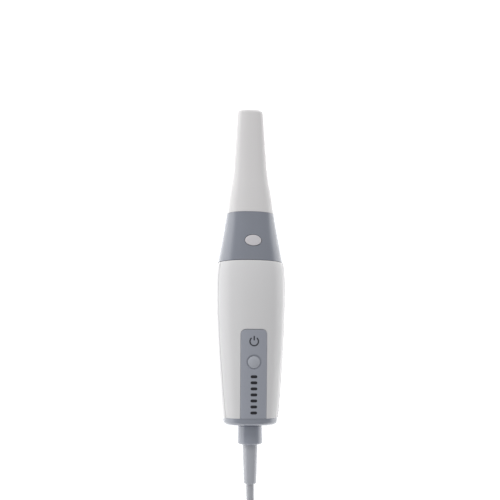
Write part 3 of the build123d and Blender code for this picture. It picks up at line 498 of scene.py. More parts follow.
# Share of the length, half width, rise over the axis, drop under it and squareness of each section
COLLAR_SECTIONS = np.array([
    (0.00, 17.7, 14.6, 16.2, 2.4),
    (0.15, 18.5, 15.3, 16.9, 2.37),
    (0.35, 19.7, 16.4, 18.0, 2.34),
    (0.55, 21.0, 17.6, 19.1, 2.31),
    (0.77, 22.5, 18.8, 20.2, 2.28),
    (1.00, 24.1, 20.0, 21.2, 2.25),
])
BODY_SECTIONS = np.array([
    (0.00, 24.5, 20.4, 21.5, 2.25),
    (0.05, 25.3, 21.4, 22.2, 2.25),
    (0.12, 25.7, 22.3, 22.4, 2.25),
    (0.28, 25.7, 22.8, 22.4, 2.25),
    (0.42, 25.15, 22.7, 22.4, 2.25),
    (0.57, 24.3, 22.3, 22.4, 2.25),
    (0.72, 23.2, 21.6, 22.4, 2.25),
    (0.86, 22.1, 20.7, 22.1, 2.25),
    (1.00, 20.8, 19.5, 21.0, 2.25),
])
COLLAR = (COLLAR_FRONT, COLLAR_LENGTH, COLLAR_SECTIONS)
BODY = (BODY_FRONT, BODY_LENGTH, BODY_SECTIONS)


def smooth_table(knots, rows, places):
    """Cubic pieces through a table's rows whose slope and bend agree at each knot, straight at both ends."""
    gap = np.diff(knots)
    size = len(knots)
    inner = np.arange(1, size - 1)
    system = np.eye(size)
    system[inner, inner - 1] = gap[:-1]
    system[inner, inner] = 2 * (gap[:-1] + gap[1:])
    system[inner, inner + 1] = gap[1:]
    slope = np.diff(rows, axis=0) / gap[:, None]
    bend = np.zeros_like(rows)
    bend[1:-1] = 6 * np.diff(slope, axis=0)
    bend = np.linalg.solve(system, bend)
    k = np.clip(np.searchsorted(knots, places, side="right") - 1, 0, size - 2)
    h = gap[k][:, None]
    a = (knots[k + 1] - places)[:, None] / h
    b = 1 - a
    return a * rows[k] + b * rows[k + 1] + ((a**3 - a) * bend[k] + (b**3 - b) * bend[k + 1]) * h**2 / 6


def skin_sizes(y, housing):
    """Half width, rise, drop and squareness of the housing's section at each Y."""
    front, length, sections = housing
    y = np.asarray(y, float)
    share = np.clip((front - y) / length, 0.0, 1.0)
    sizes = smooth_table(sections[:, 0], sections[:, 1:], share.ravel())
    return [column.reshape(y.shape) for column in sizes.T]


def skin_round(angle, y, grow, housing):
    """Skin at an angle about the axis: a superellipse whose radius is (|cos/wide|^n + |sin/reach|^n)^(-1/n)."""
    wide, rise, drop, square = skin_sizes(y, housing)
    across, up = np.cos(angle), np.sin(angle)
    reach = np.where(up >= 0, rise, drop) + grow
    radius = (np.abs(across / (wide + grow)) ** square + np.abs(up / reach) ** square) ** (-1 / square)
    height = np.maximum(AXIS_HEIGHT + radius * up, 0.0)
    return np.stack([radius * across, y + 0 * radius, height], -1)


def skin_over(x, y, grow, housing):
    """Skin over a place in plan: its height over the axis is rise * (1 - |x/wide|^n)^(1/n)."""
    wide, rise, _, square = skin_sizes(y, housing)
    height = AXIS_HEIGHT + (rise + grow) * (1 - np.abs(x / (wide + grow)) ** square) ** (1 / square)
    return np.stack([x + 0 * height, y + 0 * height, height], -1)


def edge_steps(rounding, count=6):
    """Distances in from an edge, close together at the edge, for a quarter-round of that radius."""
    return rounding * (1 - np.cos(np.linspace(0, np.pi / 2, count)))


def edge_drop(distance, rounding):
    """How far a quarter-round lies under the surface at a distance in from the edge."""
    inset = rounding - np.clip(distance, 0, rounding)
    return rounding - np.sqrt(rounding**2 - inset**2)


def parting_angle(y, height):
    """Angle about the axis at which the body's skin has that height."""
    wide, rise, _, square = skin_sizes(y, BODY)
    up = height - AXIS_HEIGHT
    return np.arctan2(up, wide * (1 - (up / rise) ** square) ** (1 / square))


# Tip: its outside has softer corners than its cavity

TIP_FRONT = 114.35
TIP_LENGTH = 76.0
TIP_WALL = 1.5
TIP_END_ROUNDING = 2.0
TIP_TOP_ROUNDING = 3.5
TIP_BASE_ROUNDING = 0.45
TIP_CAVITY_SECTIONS = np.array([
    (0.00, 9.5, 8.0, 8.4, 5.0),
    (0.16, 10.4, 8.3, 8.8, 4.8),
    (0.35, 11.3, 8.9, 9.5, 4.4),
    (0.54, 12.4, 10.0, 10.6, 3.8),
    (0.66, 13.5, 11.0, 11.9, 3.3),
    (0.76, 14.9, 12.2, 13.2, 2.9),
    (0.88, 16.4, 13.4, 14.8, 2.6),
    (1.00, 17.7, 14.6, 16.2, 2.4),
])
# Outside, each squareness keeps only this much of what it has over the base's
TIP_SOFTER = 0.06
TIP_SECTIONS = TIP_CAVITY_SECTIONS.copy()
TIP_SECTIONS[:, 4] = TIP_SECTIONS[-1, 4] + TIP_SOFTER * (TIP_SECTIONS[:, 4] - TIP_SECTIONS[-1, 4])
TIP = (TIP_FRONT, TIP_LENGTH, TIP_SECTIONS)
TIP_CAVITY = (TIP_FRONT, TIP_LENGTH, TIP_CAVITY_SECTIONS)
WINDOW_NEAR = 97.15
WINDOW_FAR = 110.75
WINDOW_HALF = 6.5
WINDOW_CORNER = 2.0
# Columns from the tip's middle line to the window's side, and from there up to the top
WINDOW_COLUMNS = 10
TIP_UPPER_COLUMNS = 49
# Rows from the base to the window, along it and beyond it, round the end's edge, and shares on the end's face
TIP_BASE_ROWS, WINDOW_ROWS, TIP_FAR_ROWS, TIP_EDGE_ROWS = 62, 18, 6, 14
TIP_END_SHARES = (0.75, 0.5, 0.25)


def tip_rows():
    """Y, end drop and share of the section of each row, from the base to the closed end's middle."""
    base, far = COLLAR_FRONT + TIP_BASE_ROUNDING, TIP_FRONT - TIP_END_ROUNDING
    y = np.concatenate([
        COLLAR_FRONT + edge_steps(TIP_BASE_ROUNDING), np.linspace(base, WINDOW_NEAR, TIP_BASE_ROWS)[1:],
        np.linspace(WINDOW_NEAR, WINDOW_FAR, WINDOW_ROWS)[1:], np.linspace(WINDOW_FAR, far, TIP_FAR_ROWS)[1:-1],
        TIP_FRONT - edge_steps(TIP_END_ROUNDING, TIP_EDGE_ROWS)[::-1], np.full(len(TIP_END_SHARES), TIP_FRONT),
    ])
    share = np.ones(len(y))
    share[-len(TIP_END_SHARES):] = TIP_END_SHARES
    drop = edge_drop(TIP_FRONT - y, TIP_END_ROUNDING) + edge_drop(y - COLLAR_FRONT, TIP_BASE_ROUNDING)
    return y, drop, share


def drawn_in(rows, share):
    """Rows of points brought towards the wand's axis, each to its share."""
    axis = np.array([0.0, 0.0, AXIS_HEIGHT])
    return axis + (rows - axis) * np.stack([share, 1 + 0 * share, share], -1)[:, None]


def tip_sleeve():
    """Tip: rings of its skin from the base to the closed end, with a wall and a rounded window below.

    Columns near the bottom keep their X all along, so two of them are the window's sides; the others share
    out the rest of the ring evenly in angle. The top's end is rounder than the sides'."""
    row_y, drop, share = tip_rows()
    first, last = (int(np.argmin(np.abs(row_y - edge))) for edge in (WINDOW_NEAR, WINDOW_FAR))
    window = 2 * WINDOW_COLUMNS
    corner_inset = WINDOW_CORNER - WINDOW_CORNER * math.sqrt(0.5)

    x = np.linspace(0, WINDOW_HALF, WINDOW_COLUMNS + 1) + 0 * row_y[:, None]
    side = np.arange(first, last + 1)
    to_ends = np.minimum(row_y[side] - WINDOW_NEAR, WINDOW_FAR - row_y[side])
    x[side, -1] -= np.where(to_ends > 0, edge_drop(to_ends, WINDOW_CORNER), corner_inset)
    wide, _, under, square = (size[:, None] for size in skin_sizes(row_y, TIP))
    low = np.arctan2(-under * (1 - (x / wide) ** square) ** (1 / square), x)
    upper = low[:, -1:] + (np.pi / 2 - low[:, -1:]) * np.linspace(0, 1, TIP_UPPER_COLUMNS + 1)[1:]
    right = np.concatenate([low, upper], 1)
    angle = np.roll(np.concatenate([right, np.pi - right[:, -2:0:-1]], 1), WINDOW_COLUMNS, axis=1)

    rows, columns = angle.shape
    y = np.repeat(row_y[:, None], columns, axis=1)
    end_shift = edge_drop(WINDOW_HALF - np.abs(np.linspace(-WINDOW_HALF, WINDOW_HALF, window + 1)), WINDOW_CORNER)
    end_shift[[0, -1]] = corner_inset
    y[first, :window + 1] += end_shift
    y[last, :window + 1] -= end_shift

    to_end = TIP_FRONT - y
    lower = edge_drop(to_end, TIP_TOP_ROUNDING) - edge_drop(to_end, TIP_END_ROUNDING)
    lower *= np.clip(np.sin(angle), 0, 1)
    outer = skin_round(angle, y, -drop[:, None], TIP)
    inner = skin_round(angle, np.minimum(y, TIP_FRONT - TIP_WALL), -TIP_WALL, TIP_CAVITY)
    outer[..., 2] -= lower
    inner[..., 2] -= lower
    outer = drawn_in(outer, share)
    end_wall = row_y > TIP_FRONT - TIP_WALL
    share[end_wall] = np.linspace(1, TIP_END_SHARES[-1], end_wall.sum())
    inner = drawn_in(inner, share)

    count = rows * columns
    keep = np.ones((rows - 1, columns), bool)
    keep[first:last, :window] = False
    face = grid_faces(rows, columns, closed_columns=True)[keep.ravel()]
    base = np.arange(columns)
    end = (rows - 1) * columns + base
    across, along = np.arange(window + 1), np.arange(first, last + 1)
    hole = np.concatenate([
        first * columns + across[:-1], along[:-1] * columns + window, last * columns + across[:0:-1],
        along[:0:-1] * columns,
    ])
    faces = [face, face[:, ::-1] + count]
    for line in (base[::-1], hole):
        following = np.roll(line, -1)
        faces.append(np.stack([line, following, following + count, line + count], -1))
    following = np.roll(end, -1)
    faces.append(np.stack([end, following, np.full(columns, 2 * count)], -1))
    faces.append(np.stack([following + count, end + count, np.full(columns, 2 * count + 1)], -1))
    points = np.vstack([outer.reshape(-1, 3), inner.reshape(-1, 3), outer[-1].mean(0), inner[-1].mean(0)])
    return points, faces


# Panel in the upper shell, the body's two shells and the buttons

PANEL_SIDE = 9.15
PANEL_FRONT = -45.85
PANEL_REAR = BODY_REAR + 0.05
PANEL_CORNER = 3.3
PANEL_GAP = 0.28
PANEL_PROUD = 0.12
PANEL_THICKNESS = 1.2
PANEL_ROUNDING = 0.25
PANEL_TAPER = 0.35
MODE_Y = -68.65
MODE_RADIUS = 4.5
MODE_HOLE_RADIUS = 4.58
MODE_RING_RADIUS = 5.25
MODE_RING_DEPTH = 0.5
MODE_RISE = 0.95
SCAN_Y = 17.35
SCAN_HALF_SIZES = (5.75, 3.9)
# Y of the parting edge's point that the panel's front corner looks to
SHELL_CORNER_Y = -36.0
# Lines of the upper shell beside the panel, round its corner and in front of it, and points along each
SIDE_LINES, CORNER_LINES, FRONT_LINES, LINE_POINTS = 47, 15, 27, 40
LOWER_ROWS, LOWER_POINTS = 70, 110


def line_shares(length, near, far, middle):
    """Shares along lines of those lengths: quarter-round steps at both ends and even ones between."""
    share = np.linspace(0, 1, middle)[1:-1]
    near_steps, far_steps = edge_steps(near), edge_steps(far)[::-1]
    base = np.concatenate([0 * near_steps, share, 1 + 0 * far_steps])
    shift = np.concatenate([near_steps, near - share * (near + far), -far_steps])
    return base + shift / length[:, None]


def upper_shell():
    """Upper shell: lines fan out from the panel's opening to the parting line and the front edge.

    A point is the mean of its line's two ends, by its share of the line, in angle about the axis and in Y,
    put on the skin, and lowered by a quarter-round along every edge."""
    corner = PANEL_CORNER + PANEL_GAP
    corner_x, corner_y = PANEL_SIDE - PANEL_CORNER, PANEL_FRONT - PANEL_CORNER
    turn = np.linspace(0, np.pi / 2, CORNER_LINES)[1:]
    rear = BODY_REAR + edge_steps(SEAM_ROUNDING)
    side_in = np.linspace(rear[-1], corner_y, SIDE_LINES)[1:]
    side_out = np.linspace(rear[-1], SHELL_CORNER_Y, SIDE_LINES)[1:]
    corner_out = np.linspace(SHELL_CORNER_Y, SHELL_FRONT, CORNER_LINES)[1:]
    front_x = np.linspace(corner_x, 0, FRONT_LINES)[1:]
    inner_y = np.concatenate([rear, side_in, corner_y + corner * np.sin(turn), 0 * front_x + corner_y + corner])
    inner_x = np.concatenate([
        np.full(len(rear) + len(side_in), corner_x + corner), corner_x + corner * np.cos(turn), front_x,
    ])
    outer_y = np.concatenate([rear, side_out, corner_out, 0 * front_x + SHELL_FRONT])
    inner = skin_over(inner_x, inner_y, 0.0, BODY)
    inner_angle = np.arctan2(inner[:, 2] - AXIS_HEIGHT, inner[:, 0])
    outer_angle = parting_angle(outer_y, PARTING_HEIGHT)
    outer_angle[-len(front_x):] = np.linspace(outer_angle[-1], np.pi / 2, FRONT_LINES)[1:]

    def place(share):
        angle = (1 - share) * inner_angle[:, None] + share * outer_angle[:, None]
        return angle, (1 - share) * inner_y[:, None] + share * outer_y[:, None]

    coarse = skin_round(*place(np.linspace(0, 1, LINE_POINTS // 2)[None, :] + 0 * inner_y[:, None]), 0.0, BODY)
    length = np.linalg.norm(np.diff(coarse, axis=1), axis=2).sum(1)
    share = line_shares(length, PANEL_ROUNDING, SEAM_ROUNDING, LINE_POINTS)
    angle, y = place(share)
    flat = skin_round(angle, y, 0.0, BODY)
    radius = np.hypot(flat[..., 0], flat[..., 2] - AXIS_HEIGHT)
    to_parting = (angle - parting_angle(y, PARTING_HEIGHT)) * radius
    to_seams = np.minimum(np.minimum(to_parting, SHELL_FRONT - y), y - BODY_REAR)
    drop = edge_drop(to_seams, SEAM_ROUNDING) + edge_drop(share * length[:, None], PANEL_ROUNDING)
    half = [skin_round(angle, y, -drop, BODY), skin_round(angle, y, -SHELL_WALL, BODY)]
    flip = np.array([-1.0, 1.0, 1.0])
    return walled_solid(*(np.concatenate([grid, grid[-2::-1] * flip]) for grid in half))


def lower_shell():
    """Lower shell: from one parting edge under the belly to the other, flat where it meets the floor.

    A point's angle is its share of the way round, and the skin is lowered by a quarter-round at the edges."""
    steps = edge_steps(SEAM_ROUNDING)
    y = np.concatenate([
        BODY_REAR + steps, np.linspace(BODY_REAR, SHELL_FRONT, LOWER_ROWS)[1:-1], SHELL_FRONT - steps[::-1],
    ])
    start = parting_angle(y, PARTING_HEIGHT - PARTING_GAP)
    around = np.pi + 2 * start
    length = around * skin_sizes(y, BODY)[0]
    share = line_shares(length, SEAM_ROUNDING, SEAM_ROUNDING, LOWER_POINTS)
    angle = start[:, None] - share * around[:, None]
    y = y[:, None] + 0 * angle
    to_edge = np.minimum(share, 1 - share) * length[:, None]
    to_seams = np.minimum(np.minimum(to_edge, SHELL_FRONT - y), y - BODY_REAR)
    outer = skin_round(angle, y, -edge_drop(to_seams, SEAM_ROUNDING), BODY)
    return walled_solid(outer, skin_round(angle, y, -SHELL_WALL, BODY))


def panel_outline(corner_points=9, side_points=78, front_points=19, rear_points=28):
    """Plan outline of the panel, rounded in front and square at the cap, as even small steps."""
    corner_x, corner_y = PANEL_SIDE - PANEL_CORNER, PANEL_FRONT - PANEL_CORNER
    turn = np.linspace(0, np.pi / 2, corner_points)
    side = np.linspace(PANEL_REAR, corner_y, side_points)[:-1]
    front = np.linspace(corner_x, -corner_x, front_points)[1:-1]
    rear = np.linspace(-PANEL_SIDE, PANEL_SIDE, rear_points)[1:-1]
    right = np.stack([0 * side + PANEL_SIDE, side], -1)
    corner = np.stack([corner_x + PANEL_CORNER * np.cos(turn), corner_y + PANEL_CORNER * np.sin(turn)], -1)
    flip = np.array([-1.0, 1.0])
    return np.concatenate([
        right, corner, np.stack([front, 0 * front + PANEL_FRONT], -1), corner[::-1] * flip, right[::-1] * flip,
        np.stack([rear, 0 * rear + PANEL_REAR], -1),
    ])


def control_panel(flat_rings=24):
    """Inlay that follows the skin.

    Its rings run from the button's hole over the dished ring, out to the outline and back under. Between the
    dish and the outline a ring is the mean of the two, by its share of the way."""
    outline = panel_outline()
    centre = np.array([0.0, MODE_Y])
    away = outline - centre
    ray = away / np.linalg.norm(away, axis=1)[:, None]
    along = np.roll(outline, -1, 0) - np.roll(outline, 1, 0)
    outwards = np.stack([along[:, 1], -along[:, 0]], -1) / np.linalg.norm(along, axis=1)[:, None]
    dish = PANEL_PROUD - MODE_RING_DEPTH
    under = PANEL_PROUD - PANEL_THICKNESS
    lip = 0.15
    soft = 0.3 * lip
    hole = centre + ray * MODE_HOLE_RADIUS
    dished = [
        (MODE_HOLE_RADIUS, under), (MODE_HOLE_RADIUS, dish - lip), (MODE_HOLE_RADIUS + lip, dish),
        (MODE_RING_RADIUS - lip, dish), (MODE_RING_RADIUS, dish + lip), (MODE_RING_RADIUS, PANEL_PROUD - lip),
        (MODE_RING_RADIUS + soft, PANEL_PROUD - soft),
    ]
    rings = [(centre + ray * radius, height) for radius, height in dished]
    ring = centre + ray * (MODE_RING_RADIUS + lip)
    edge = outline - outwards * PANEL_ROUNDING
    rings += [(ring + share * (edge - ring), PANEL_PROUD) for share in np.linspace(0, 1, flat_rings)]
    rings += [
        (outline - outwards * step, PANEL_PROUD - float(edge_drop(step, PANEL_ROUNDING)))
        for step in edge_steps(PANEL_ROUNDING)[-2::-1]
    ]
    foot = outline - outwards * PANEL_TAPER
    rings += [(foot + share * (hole - foot), under) for share in np.linspace(0, 1, 5)[:-1]]
    return ring_solid(np.array([skin_over(*plan.T, grow, BODY) for plan, grow in rings]), hollow=True)


def key_solid(plan, shares, tops, skirt, y):
    """Button: rings of a plan outline shrunk to each share, at their heights, with a straight skirt below."""
    rings = [np.concatenate([plan * share, top[:, None]], 1) for share, top in zip(shares, tops)]
    foot = rings[0] - np.array([0, 0, skirt])
    points, faces = ring_solid(np.array([foot] + rings))
    return points + np.array([0.0, y, 0.0]), faces


def oval(half_sizes, columns):
    """Plan outline of an oval or a circle, even in angle."""
    around = np.linspace(0, 2 * np.pi, columns, endpoint=False)
    return np.stack([np.cos(around), np.sin(around)], -1) * half_sizes


def dome_profile(rounding, size, count=20, innermost=0.985):
    """Shares of the size from the rim to the middle, and the quarter-round's drop at each."""
    inset = np.concatenate([edge_steps(rounding), np.linspace(rounding, size, count)[1:-1], [size * innermost]])
    return 1 - inset / size, edge_drop(inset, rounding)


def mode_button(columns=96):
    """Round button: a dome whose height falls with the share to a power, and a soft rim."""
    rounding, dome, power, skirt = 0.45, 1.45, 2.6, 2.6
    shares, drops = dome_profile(rounding, MODE_RADIUS)
    crown = skin_over(np.zeros(1), np.array([MODE_Y]), PANEL_PROUD, BODY)[0, 2] + MODE_RISE
    tops = [np.zeros(columns) + crown - dome * share**power - drop for share, drop in zip(shares, drops)]
    return key_solid(oval(MODE_RADIUS, columns), shares, tops, skirt, MODE_Y)


def scan_button(columns=120):
    """Oval button that follows the collar's skin, a little proud, slightly crowned, with a soft rim."""
    rounding, mean_size, proud, crown, skirt = 0.4, 4.6, 0.25, 0.15, 2.4
    plan = oval(SCAN_HALF_SIZES, columns)
    shares, drops = dome_profile(rounding, mean_size)
    tops = [
        skin_over(*(plan * share + (0.0, SCAN_Y)).T, proud, COLLAR)[:, 2] + crown * (1 - share**2) - drop
        for share, drop in zip(shares, drops)
    ]
    return key_solid(plan, shares, tops, skirt, SCAN_Y)


# Printed marks on the panel

# Section of a stroke: share of its half width, and height over the panel
STROKE_SECTION = [
    (-1.0, -0.2), (-1.0, 0.03), (-0.5, 0.035), (0.0, 0.035), (0.5, 0.035), (1.0, 0.03), (1.0, -0.2), (0.0, -0.2),
]


def stroke(path, width, end_steps=7, steps=24, narrowest=0.02):
    """Printed stroke with round ends along a plan path: half the width, narrowed as a half circle at both ends."""
    run = np.concatenate([[0.0], np.cumsum(np.linalg.norm(np.diff(path, axis=0), axis=1))])
    radius = width / 2
    ends = edge_steps(radius, end_steps)
    places = np.concatenate([ends, np.linspace(radius, run[-1] - radius, steps)[1:-1], run[-1] - ends[::-1]])
    middle = np.stack([np.interp(places, run, path[:, axis]) for axis in range(2)], -1)
    inset = radius - np.clip(np.minimum(places, run[-1] - places), 0, radius)
    half = np.sqrt(np.maximum(radius**2 - inset**2, (narrowest * width) ** 2))
    along = np.gradient(middle, axis=0)
    across = np.stack([along[:, 1], -along[:, 0]], -1) / np.linalg.norm(along, axis=1)[:, None]
    columns = [
        skin_over(*(middle + across * (half * side)[:, None]).T, PANEL_PROUD + lift, BODY)
        for side, lift in STROKE_SECTION
    ]
    return ring_solid(np.stack(columns, 1))


def joined(solids):
    """Several solids as one piece's points and faces."""
    points, faces, count = [], [], 0
    for some_points, some_faces in solids:
        faces += [block + count for block in some_faces]
        points.append(some_points)
        count += len(some_points)
    return np.vstack(points), faces


def standby_mark(ring_points=60, bar_points=12):
    """Open ring with a bar in its gap."""
    width, radius, middle, ring_ends, bar_ends = 1.0, 3.0, -54.2, (125, 415), (-53.6, -50.3)
    turn = np.radians(np.linspace(*ring_ends, ring_points))
    ring = np.stack([radius * np.cos(turn), middle + radius * np.sin(turn)], -1)
    bar = np.stack([np.zeros(bar_points), np.linspace(*bar_ends, bar_points)], -1)
    return joined([stroke(ring, width), stroke(bar, width)])


def scale_marks(bars=7, bar_points=14):
    """Short bars across the panel, one under the other."""
    width, half_length, first, last = 2.1, 2.4, -78.9, -104.3
    across = np.linspace(-half_length, half_length, bar_points)
    return joined([stroke(np.stack([across, 0 * across + y], -1), width) for y in np.linspace(first, last, bars)])


# Plug at the wand and its sleeve, the strap round the hank, and the plug at the lead's end

STRAP_WIDTH = 12.0
STRAP_THICKNESS = 0.85


def strap(points=300):
    """Strap on the strands' common outline: each direction's farthest strand, plus its radius, wound in turns.

    Late in the first turn it climbs, by a soft step, onto the layer below."""
    start, turns, strand, play, rounding = math.radians(60), 1.3, 3.05, 0.02, 0.25
    climb_start, climb, soft_side, least_step = 0.93, 0.14, 0.96, 1e-3
    strands = np.array([(away, height + TIE_LIFT) for away, height in LAPS])
    turn = np.linspace(start, start - turns * 2 * np.pi, points)
    facing = np.stack([np.cos(turn), np.sin(turn)], -1)
    farthest = strands[np.argmax(facing @ strands.T, 1)]
    layer = smooth(((turn[0] - turn) / (2 * np.pi) - climb_start) / climb)
    line = farthest + facing * (strand + STRAP_THICKNESS / 2 + (STRAP_THICKNESS + play) * layer)[:, None]
    keep = np.concatenate([[True], np.linalg.norm(np.diff(line, axis=0), axis=1) > least_step])
    line, facing = line[keep], facing[keep]
    half = STRAP_THICKNESS / 2
    shoulder = half - rounding
    section = np.array([
        (-1, -shoulder), (-1, shoulder), (-soft_side, half), (-0.5, half), (0, half), (0.5, half), (soft_side, half),
        (1, shoulder), (1, -shoulder), (soft_side, -half), (0, -half), (-soft_side, -half),
    ])
    across = section[:, 0] * STRAP_WIDTH / 2
    rings = np.stack([
        line[:, :1] + facing[:, :1] * section[:, 1],
        TIE_Y + 0 * line[:, :1] + across,
        line[:, 1:] + facing[:, 1:] * section[:, 1],
    ], -1)
    run = np.concatenate([[0.0], np.cumsum(np.linalg.norm(np.diff(line, axis=0), axis=1))])
    uv = np.stack([run[:, None] + 0 * across, 0 * run[:, None] + across], -1)
    return *ring_solid(rings), np.vstack([uv.reshape(-1, 2), [[0.0, 0.0], [run[-1], 0.0]]])


# Plugs: places along Y, the middle of the far one, and the radius at which a turned end closes
WAND_PLUG_FRONT, WAND_PLUG_REAR, SLEEVE_REAR = -114.45, -127.95, -156.95
USB_SLEEVE_START, USB_GRIP_START, USB_GRIP_END = -257.5, -243.5, -217.5
USB_X, USB_HEIGHT = -3.0, 3.9
CORE_RADIUS = 0.2


def usb_grip(rows=60, columns=112):
    """Moulded grip: a squarish section whose width has a waist and whose broad sides have shallow ribs.

    The waist falls with the square of a sine along the grip, and the ribs are even waves on part of it."""
    half_wide, half_tall, rounding, waist, square = 7.8, 3.8, 1.8, 0.55, 5
    rib_depth, rib_pitch, first_rib, last_rib = 0.3, 2.5, 8.0, 18.0
    start, end = USB_GRIP_START, USB_GRIP_END
    steps = edge_steps(rounding, 9)
    y = np.concatenate([start + steps, np.linspace(start + rounding, end - rounding, rows)[1:-1], end - steps[::-1]])
    run = y - start
    drop = edge_drop(np.minimum(run, end - y), rounding)
    wide = half_wide - drop - waist * np.sin(np.pi * run / (end - start)) ** 2
    ribs = 0.5 - 0.5 * np.cos(2 * np.pi * (run - first_rib) / rib_pitch)
    tall = half_tall - drop - rib_depth * ribs * ((run > first_rib) & (run < last_rib))
    around = np.linspace(0, 2 * np.pi, columns, endpoint=False)
    across, up = np.cos(around), np.sin(around)
    radius = (np.abs(across / wide[:, None]) ** square + np.abs(up / tall[:, None]) ** square) ** (-1 / square)
    return ring_solid(np.stack([USB_X + radius * across, y[:, None] + 0 * radius, USB_HEIGHT + radius * up], -1))


def turned(profile, x, z, columns=72):
    """Profile of Y and radius turned about a line along the wand."""
    around = np.linspace(0, 2 * np.pi, columns, endpoint=False)
    y, radius = profile[:, :1], profile[:, 1:]
    return ring_solid(np.stack([x + radius * np.cos(around), y + 0 * around, z + radius * np.sin(around)], -1))


def wand_plug(rows=22, columns=96):
    """Grip collar that widens evenly backwards, soft at both edges, with a hollow nose in front."""
    front, rear, front_edge, rear_edge = WAND_PLUG_FRONT, WAND_PLUG_REAR, 0.3, 1.4
    narrow, wide, back = 8.95, 9.3, 5.0
    nose_start, nose, bore, bore_end = -105.45, 6.15, 4.95, -115.45
    collar = np.concatenate([
        front - edge_steps(front_edge), np.linspace(front, rear, rows)[2:-3], rear + edge_steps(rear_edge)[::-1],
    ])
    radius = narrow + (wide - narrow) * (front - collar) / (front - rear)
    radius -= edge_drop(front - collar, front_edge) + edge_drop(collar - rear, rear_edge)
    inside = [(bore_end, CORE_RADIUS), (bore_end, bore), (nose_start, bore), (nose_start, nose), (front, nose)]
    behind = [(rear, back), (rear, CORE_RADIUS)]
    return turned(np.concatenate([inside, np.stack([collar, radius], -1), behind]), 0.0, AXIS_HEIGHT, columns)


def wand_sleeve(rows=60):
    """Tapered sleeve behind the plug: it narrows evenly and ends in a soft edge."""
    front, rear, wide, narrow, rounding = WAND_PLUG_REAR, SLEEVE_REAR, 5.7, 4.7, 1.0
    y = np.concatenate([np.linspace(front, rear, rows)[:-2], rear + edge_steps(rounding)[::-1]])
    radius = wide - (wide - narrow) * (front - y) / (front - rear) - edge_drop(y - rear, rounding)
    profile = [[(front, CORE_RADIUS)], np.stack([y, radius], -1), [(rear, CORE_RADIUS)]]
    return turned(np.concatenate(profile), 0.0, AXIS_HEIGHT)


def usb_relief(rows=113):
    """Tapered sleeve with ring slots: each slot is the cube of a wave along the sleeve."""
    narrow, wide, rounding, slots, slot_depth = 3.3, 3.7, 0.25, 5, 0.45
    y = np.linspace(USB_SLEEVE_START, USB_GRIP_START, rows)
    share = (y - USB_SLEEVE_START) / (USB_GRIP_START - USB_SLEEVE_START)
    wave = (0.5 - 0.5 * np.cos(2 * np.pi * slots * share)) ** 3
    radius = narrow + (wide - narrow) * share - slot_depth * wave - edge_drop(y - USB_SLEEVE_START, rounding)
    return turned(np.stack([y, radius], -1), USB_X, USB_HEIGHT)


make_camera()
# The wand's plug takes a lighter copy of the trim grey, painted light against the shade that the end cap casts on it
plug_piece = add_piece("wand_plug", wand_plug(), "plug_grey_painted_light", "lead", ["plug_body"])
sleeve_piece = add_piece("wand_sleeve", wand_sleeve(), "relief_rubber", "lead", ["strain_relief"])
strap_piece = add_piece("strap", strap(), "tie_fabric", "lead", ["hank_tie"])
grip_piece = add_piece("plug_grip", usb_grip(), "relief_rubber", "lead", ["usb_grip"])
relief_piece = add_piece("plug_sleeve", usb_relief(), "relief_rubber", "lead", ["usb_relief"])
make_lead()
add_piece("tip_cover", tip_sleeve(), "tip_white", "tip", ["tip_sleeve"])
add_piece("body_upper", upper_shell(), "white_shell", "handpiece", ["upper_shell"])
add_piece("body_lower", lower_shell(), "white_shell", "handpiece", ["lower_shell"])
add_piece("panel_inlay", control_panel(), "panel_grey", "handpiece", ["control_panel"])
add_piece("mode_key_cap", mode_button(), "mode_grey", "mode_key", ["mode_button"])
add_piece("scan_key_cap", scan_button(), "button_grey", "scan_key", ["scan_button"])
add_piece("standby_mark", standby_mark(), "mark_soft", "handpiece")
add_piece("scale_marks", scale_marks(), "mark_dark", "handpiece")


# Plain pale floor and soft light, brighter round the horizon than overhead

FLOOR_HALF_SIZE = 30
FLOOR_SHADE = (0.8, 0.8, 0.8, 1)
FLOOR_ROUGHNESS = 0.9
WHITE = (1, 1, 1, 1)
# Floor's own light: as seen straight, on matt surfaces and in reflections
FLOOR_SEEN = 0.8
FLOOR_BOUNCE = 0.15
FLOOR_MIRRORED = 2.6
# Light of the surroundings, low and overhead, and the two heights between which it falls off: on matt surfaces,
# then in reflections
SKY_SOFT, SKY_SOFT_BAND = (1.6, 0.49), (0.0, 0.3)
SKY_REFLECTED, SKY_REFLECTED_BAND = (3.0, 0.5), (0.15, 0.45)
# How much of the way to +X counts as height, which makes the surroundings a little darker on that side
SKY_LEAN = 0.09
KEY_PLACE = (-0.3, 0.55, 0.55)
KEY_AIM = (0.0, -0.05, 0.02)
KEY_SIZE = 0.3
KEY_POWER = 1.7


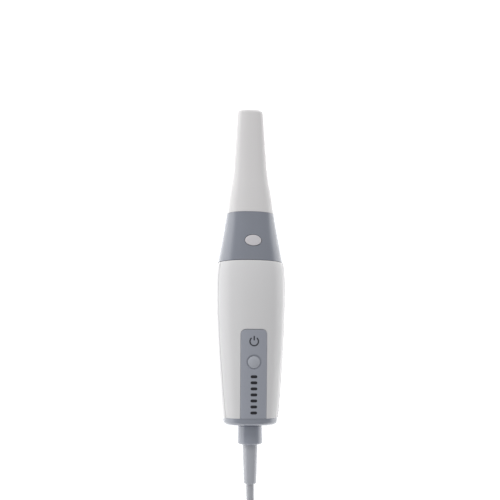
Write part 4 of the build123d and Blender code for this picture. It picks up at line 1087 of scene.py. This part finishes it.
def make_stage():
    """Pale floor that glows evenly, by a different amount for each kind of ray."""
    far = FLOOR_HALF_SIZE
    mesh = bpy.data.meshes.new("floor")
    mesh.from_pydata([(-far, -far, 0), (far, -far, 0), (far, far, 0), (-far, far, 0)], [], [(0, 1, 2, 3)])
    material, tree, shader = new_material("floor")
    shader.inputs["Base Color"].default_value = FLOOR_SHADE
    shader.inputs["Roughness"].default_value = FLOOR_ROUGHNESS
    shader.inputs["Specular IOR Level"].default_value = 0.0
    shader.inputs["Emission Color"].default_value = WHITE
    path = put(tree, "ShaderNodeLightPath").outputs
    seen = times_plus(tree, path["Is Camera Ray"], FLOOR_SEEN - FLOOR_BOUNCE, FLOOR_BOUNCE)
    glow = times_plus(tree, path["Is Glossy Ray"], FLOOR_MIRRORED - FLOOR_BOUNCE, seen)
    tree.links.new(glow, shader.inputs["Emission Strength"])
    mesh.materials.append(material)
    in_scene("floor", mesh)


def make_light():
    """Bright ring round the horizon, softer sky overhead, and one key light that reflections don't show."""
    world = bpy.data.worlds.new("studio")
    world.use_nodes = True
    tree = world.node_tree
    way = put(tree, "ShaderNodeSeparateXYZ", Vector=put(tree, "ShaderNodeTexCoord").outputs["Generated"])
    up = times_plus(tree, way.outputs["X"], SKY_LEAN, way.outputs["Z"])
    glossy = put(tree, "ShaderNodeLightPath").outputs["Is Glossy Ray"]
    soft = spread_range(tree, up, *SKY_SOFT_BAND, *SKY_SOFT)
    bright = spread_range(tree, up, *SKY_REFLECTED_BAND, *SKY_REFLECTED)
    level = times_plus(tree, glossy, math_node(tree, "SUBTRACT", bright, soft), soft)
    tree.links.new(level, tree.nodes["Background"].inputs["Strength"])
    tree.nodes["Background"].inputs["Color"].default_value = WHITE
    bpy.context.scene.world = world

    data = bpy.data.lights.new("key_softbox", "AREA")
    data.shape = "RECTANGLE"
    data.size = data.size_y = KEY_SIZE
    data.energy = KEY_POWER
    light = in_scene("key_softbox", data)
    facing = (Vector(KEY_AIM) - Vector(KEY_PLACE)).to_track_quat("-Z", "Y")
    light.matrix_world = Matrix.Translation(KEY_PLACE) @ facing.to_matrix().to_4x4()
    light.visible_glossy = False
    bpy.context.scene.view_settings.view_transform = "Standard"


make_stage()
make_light()
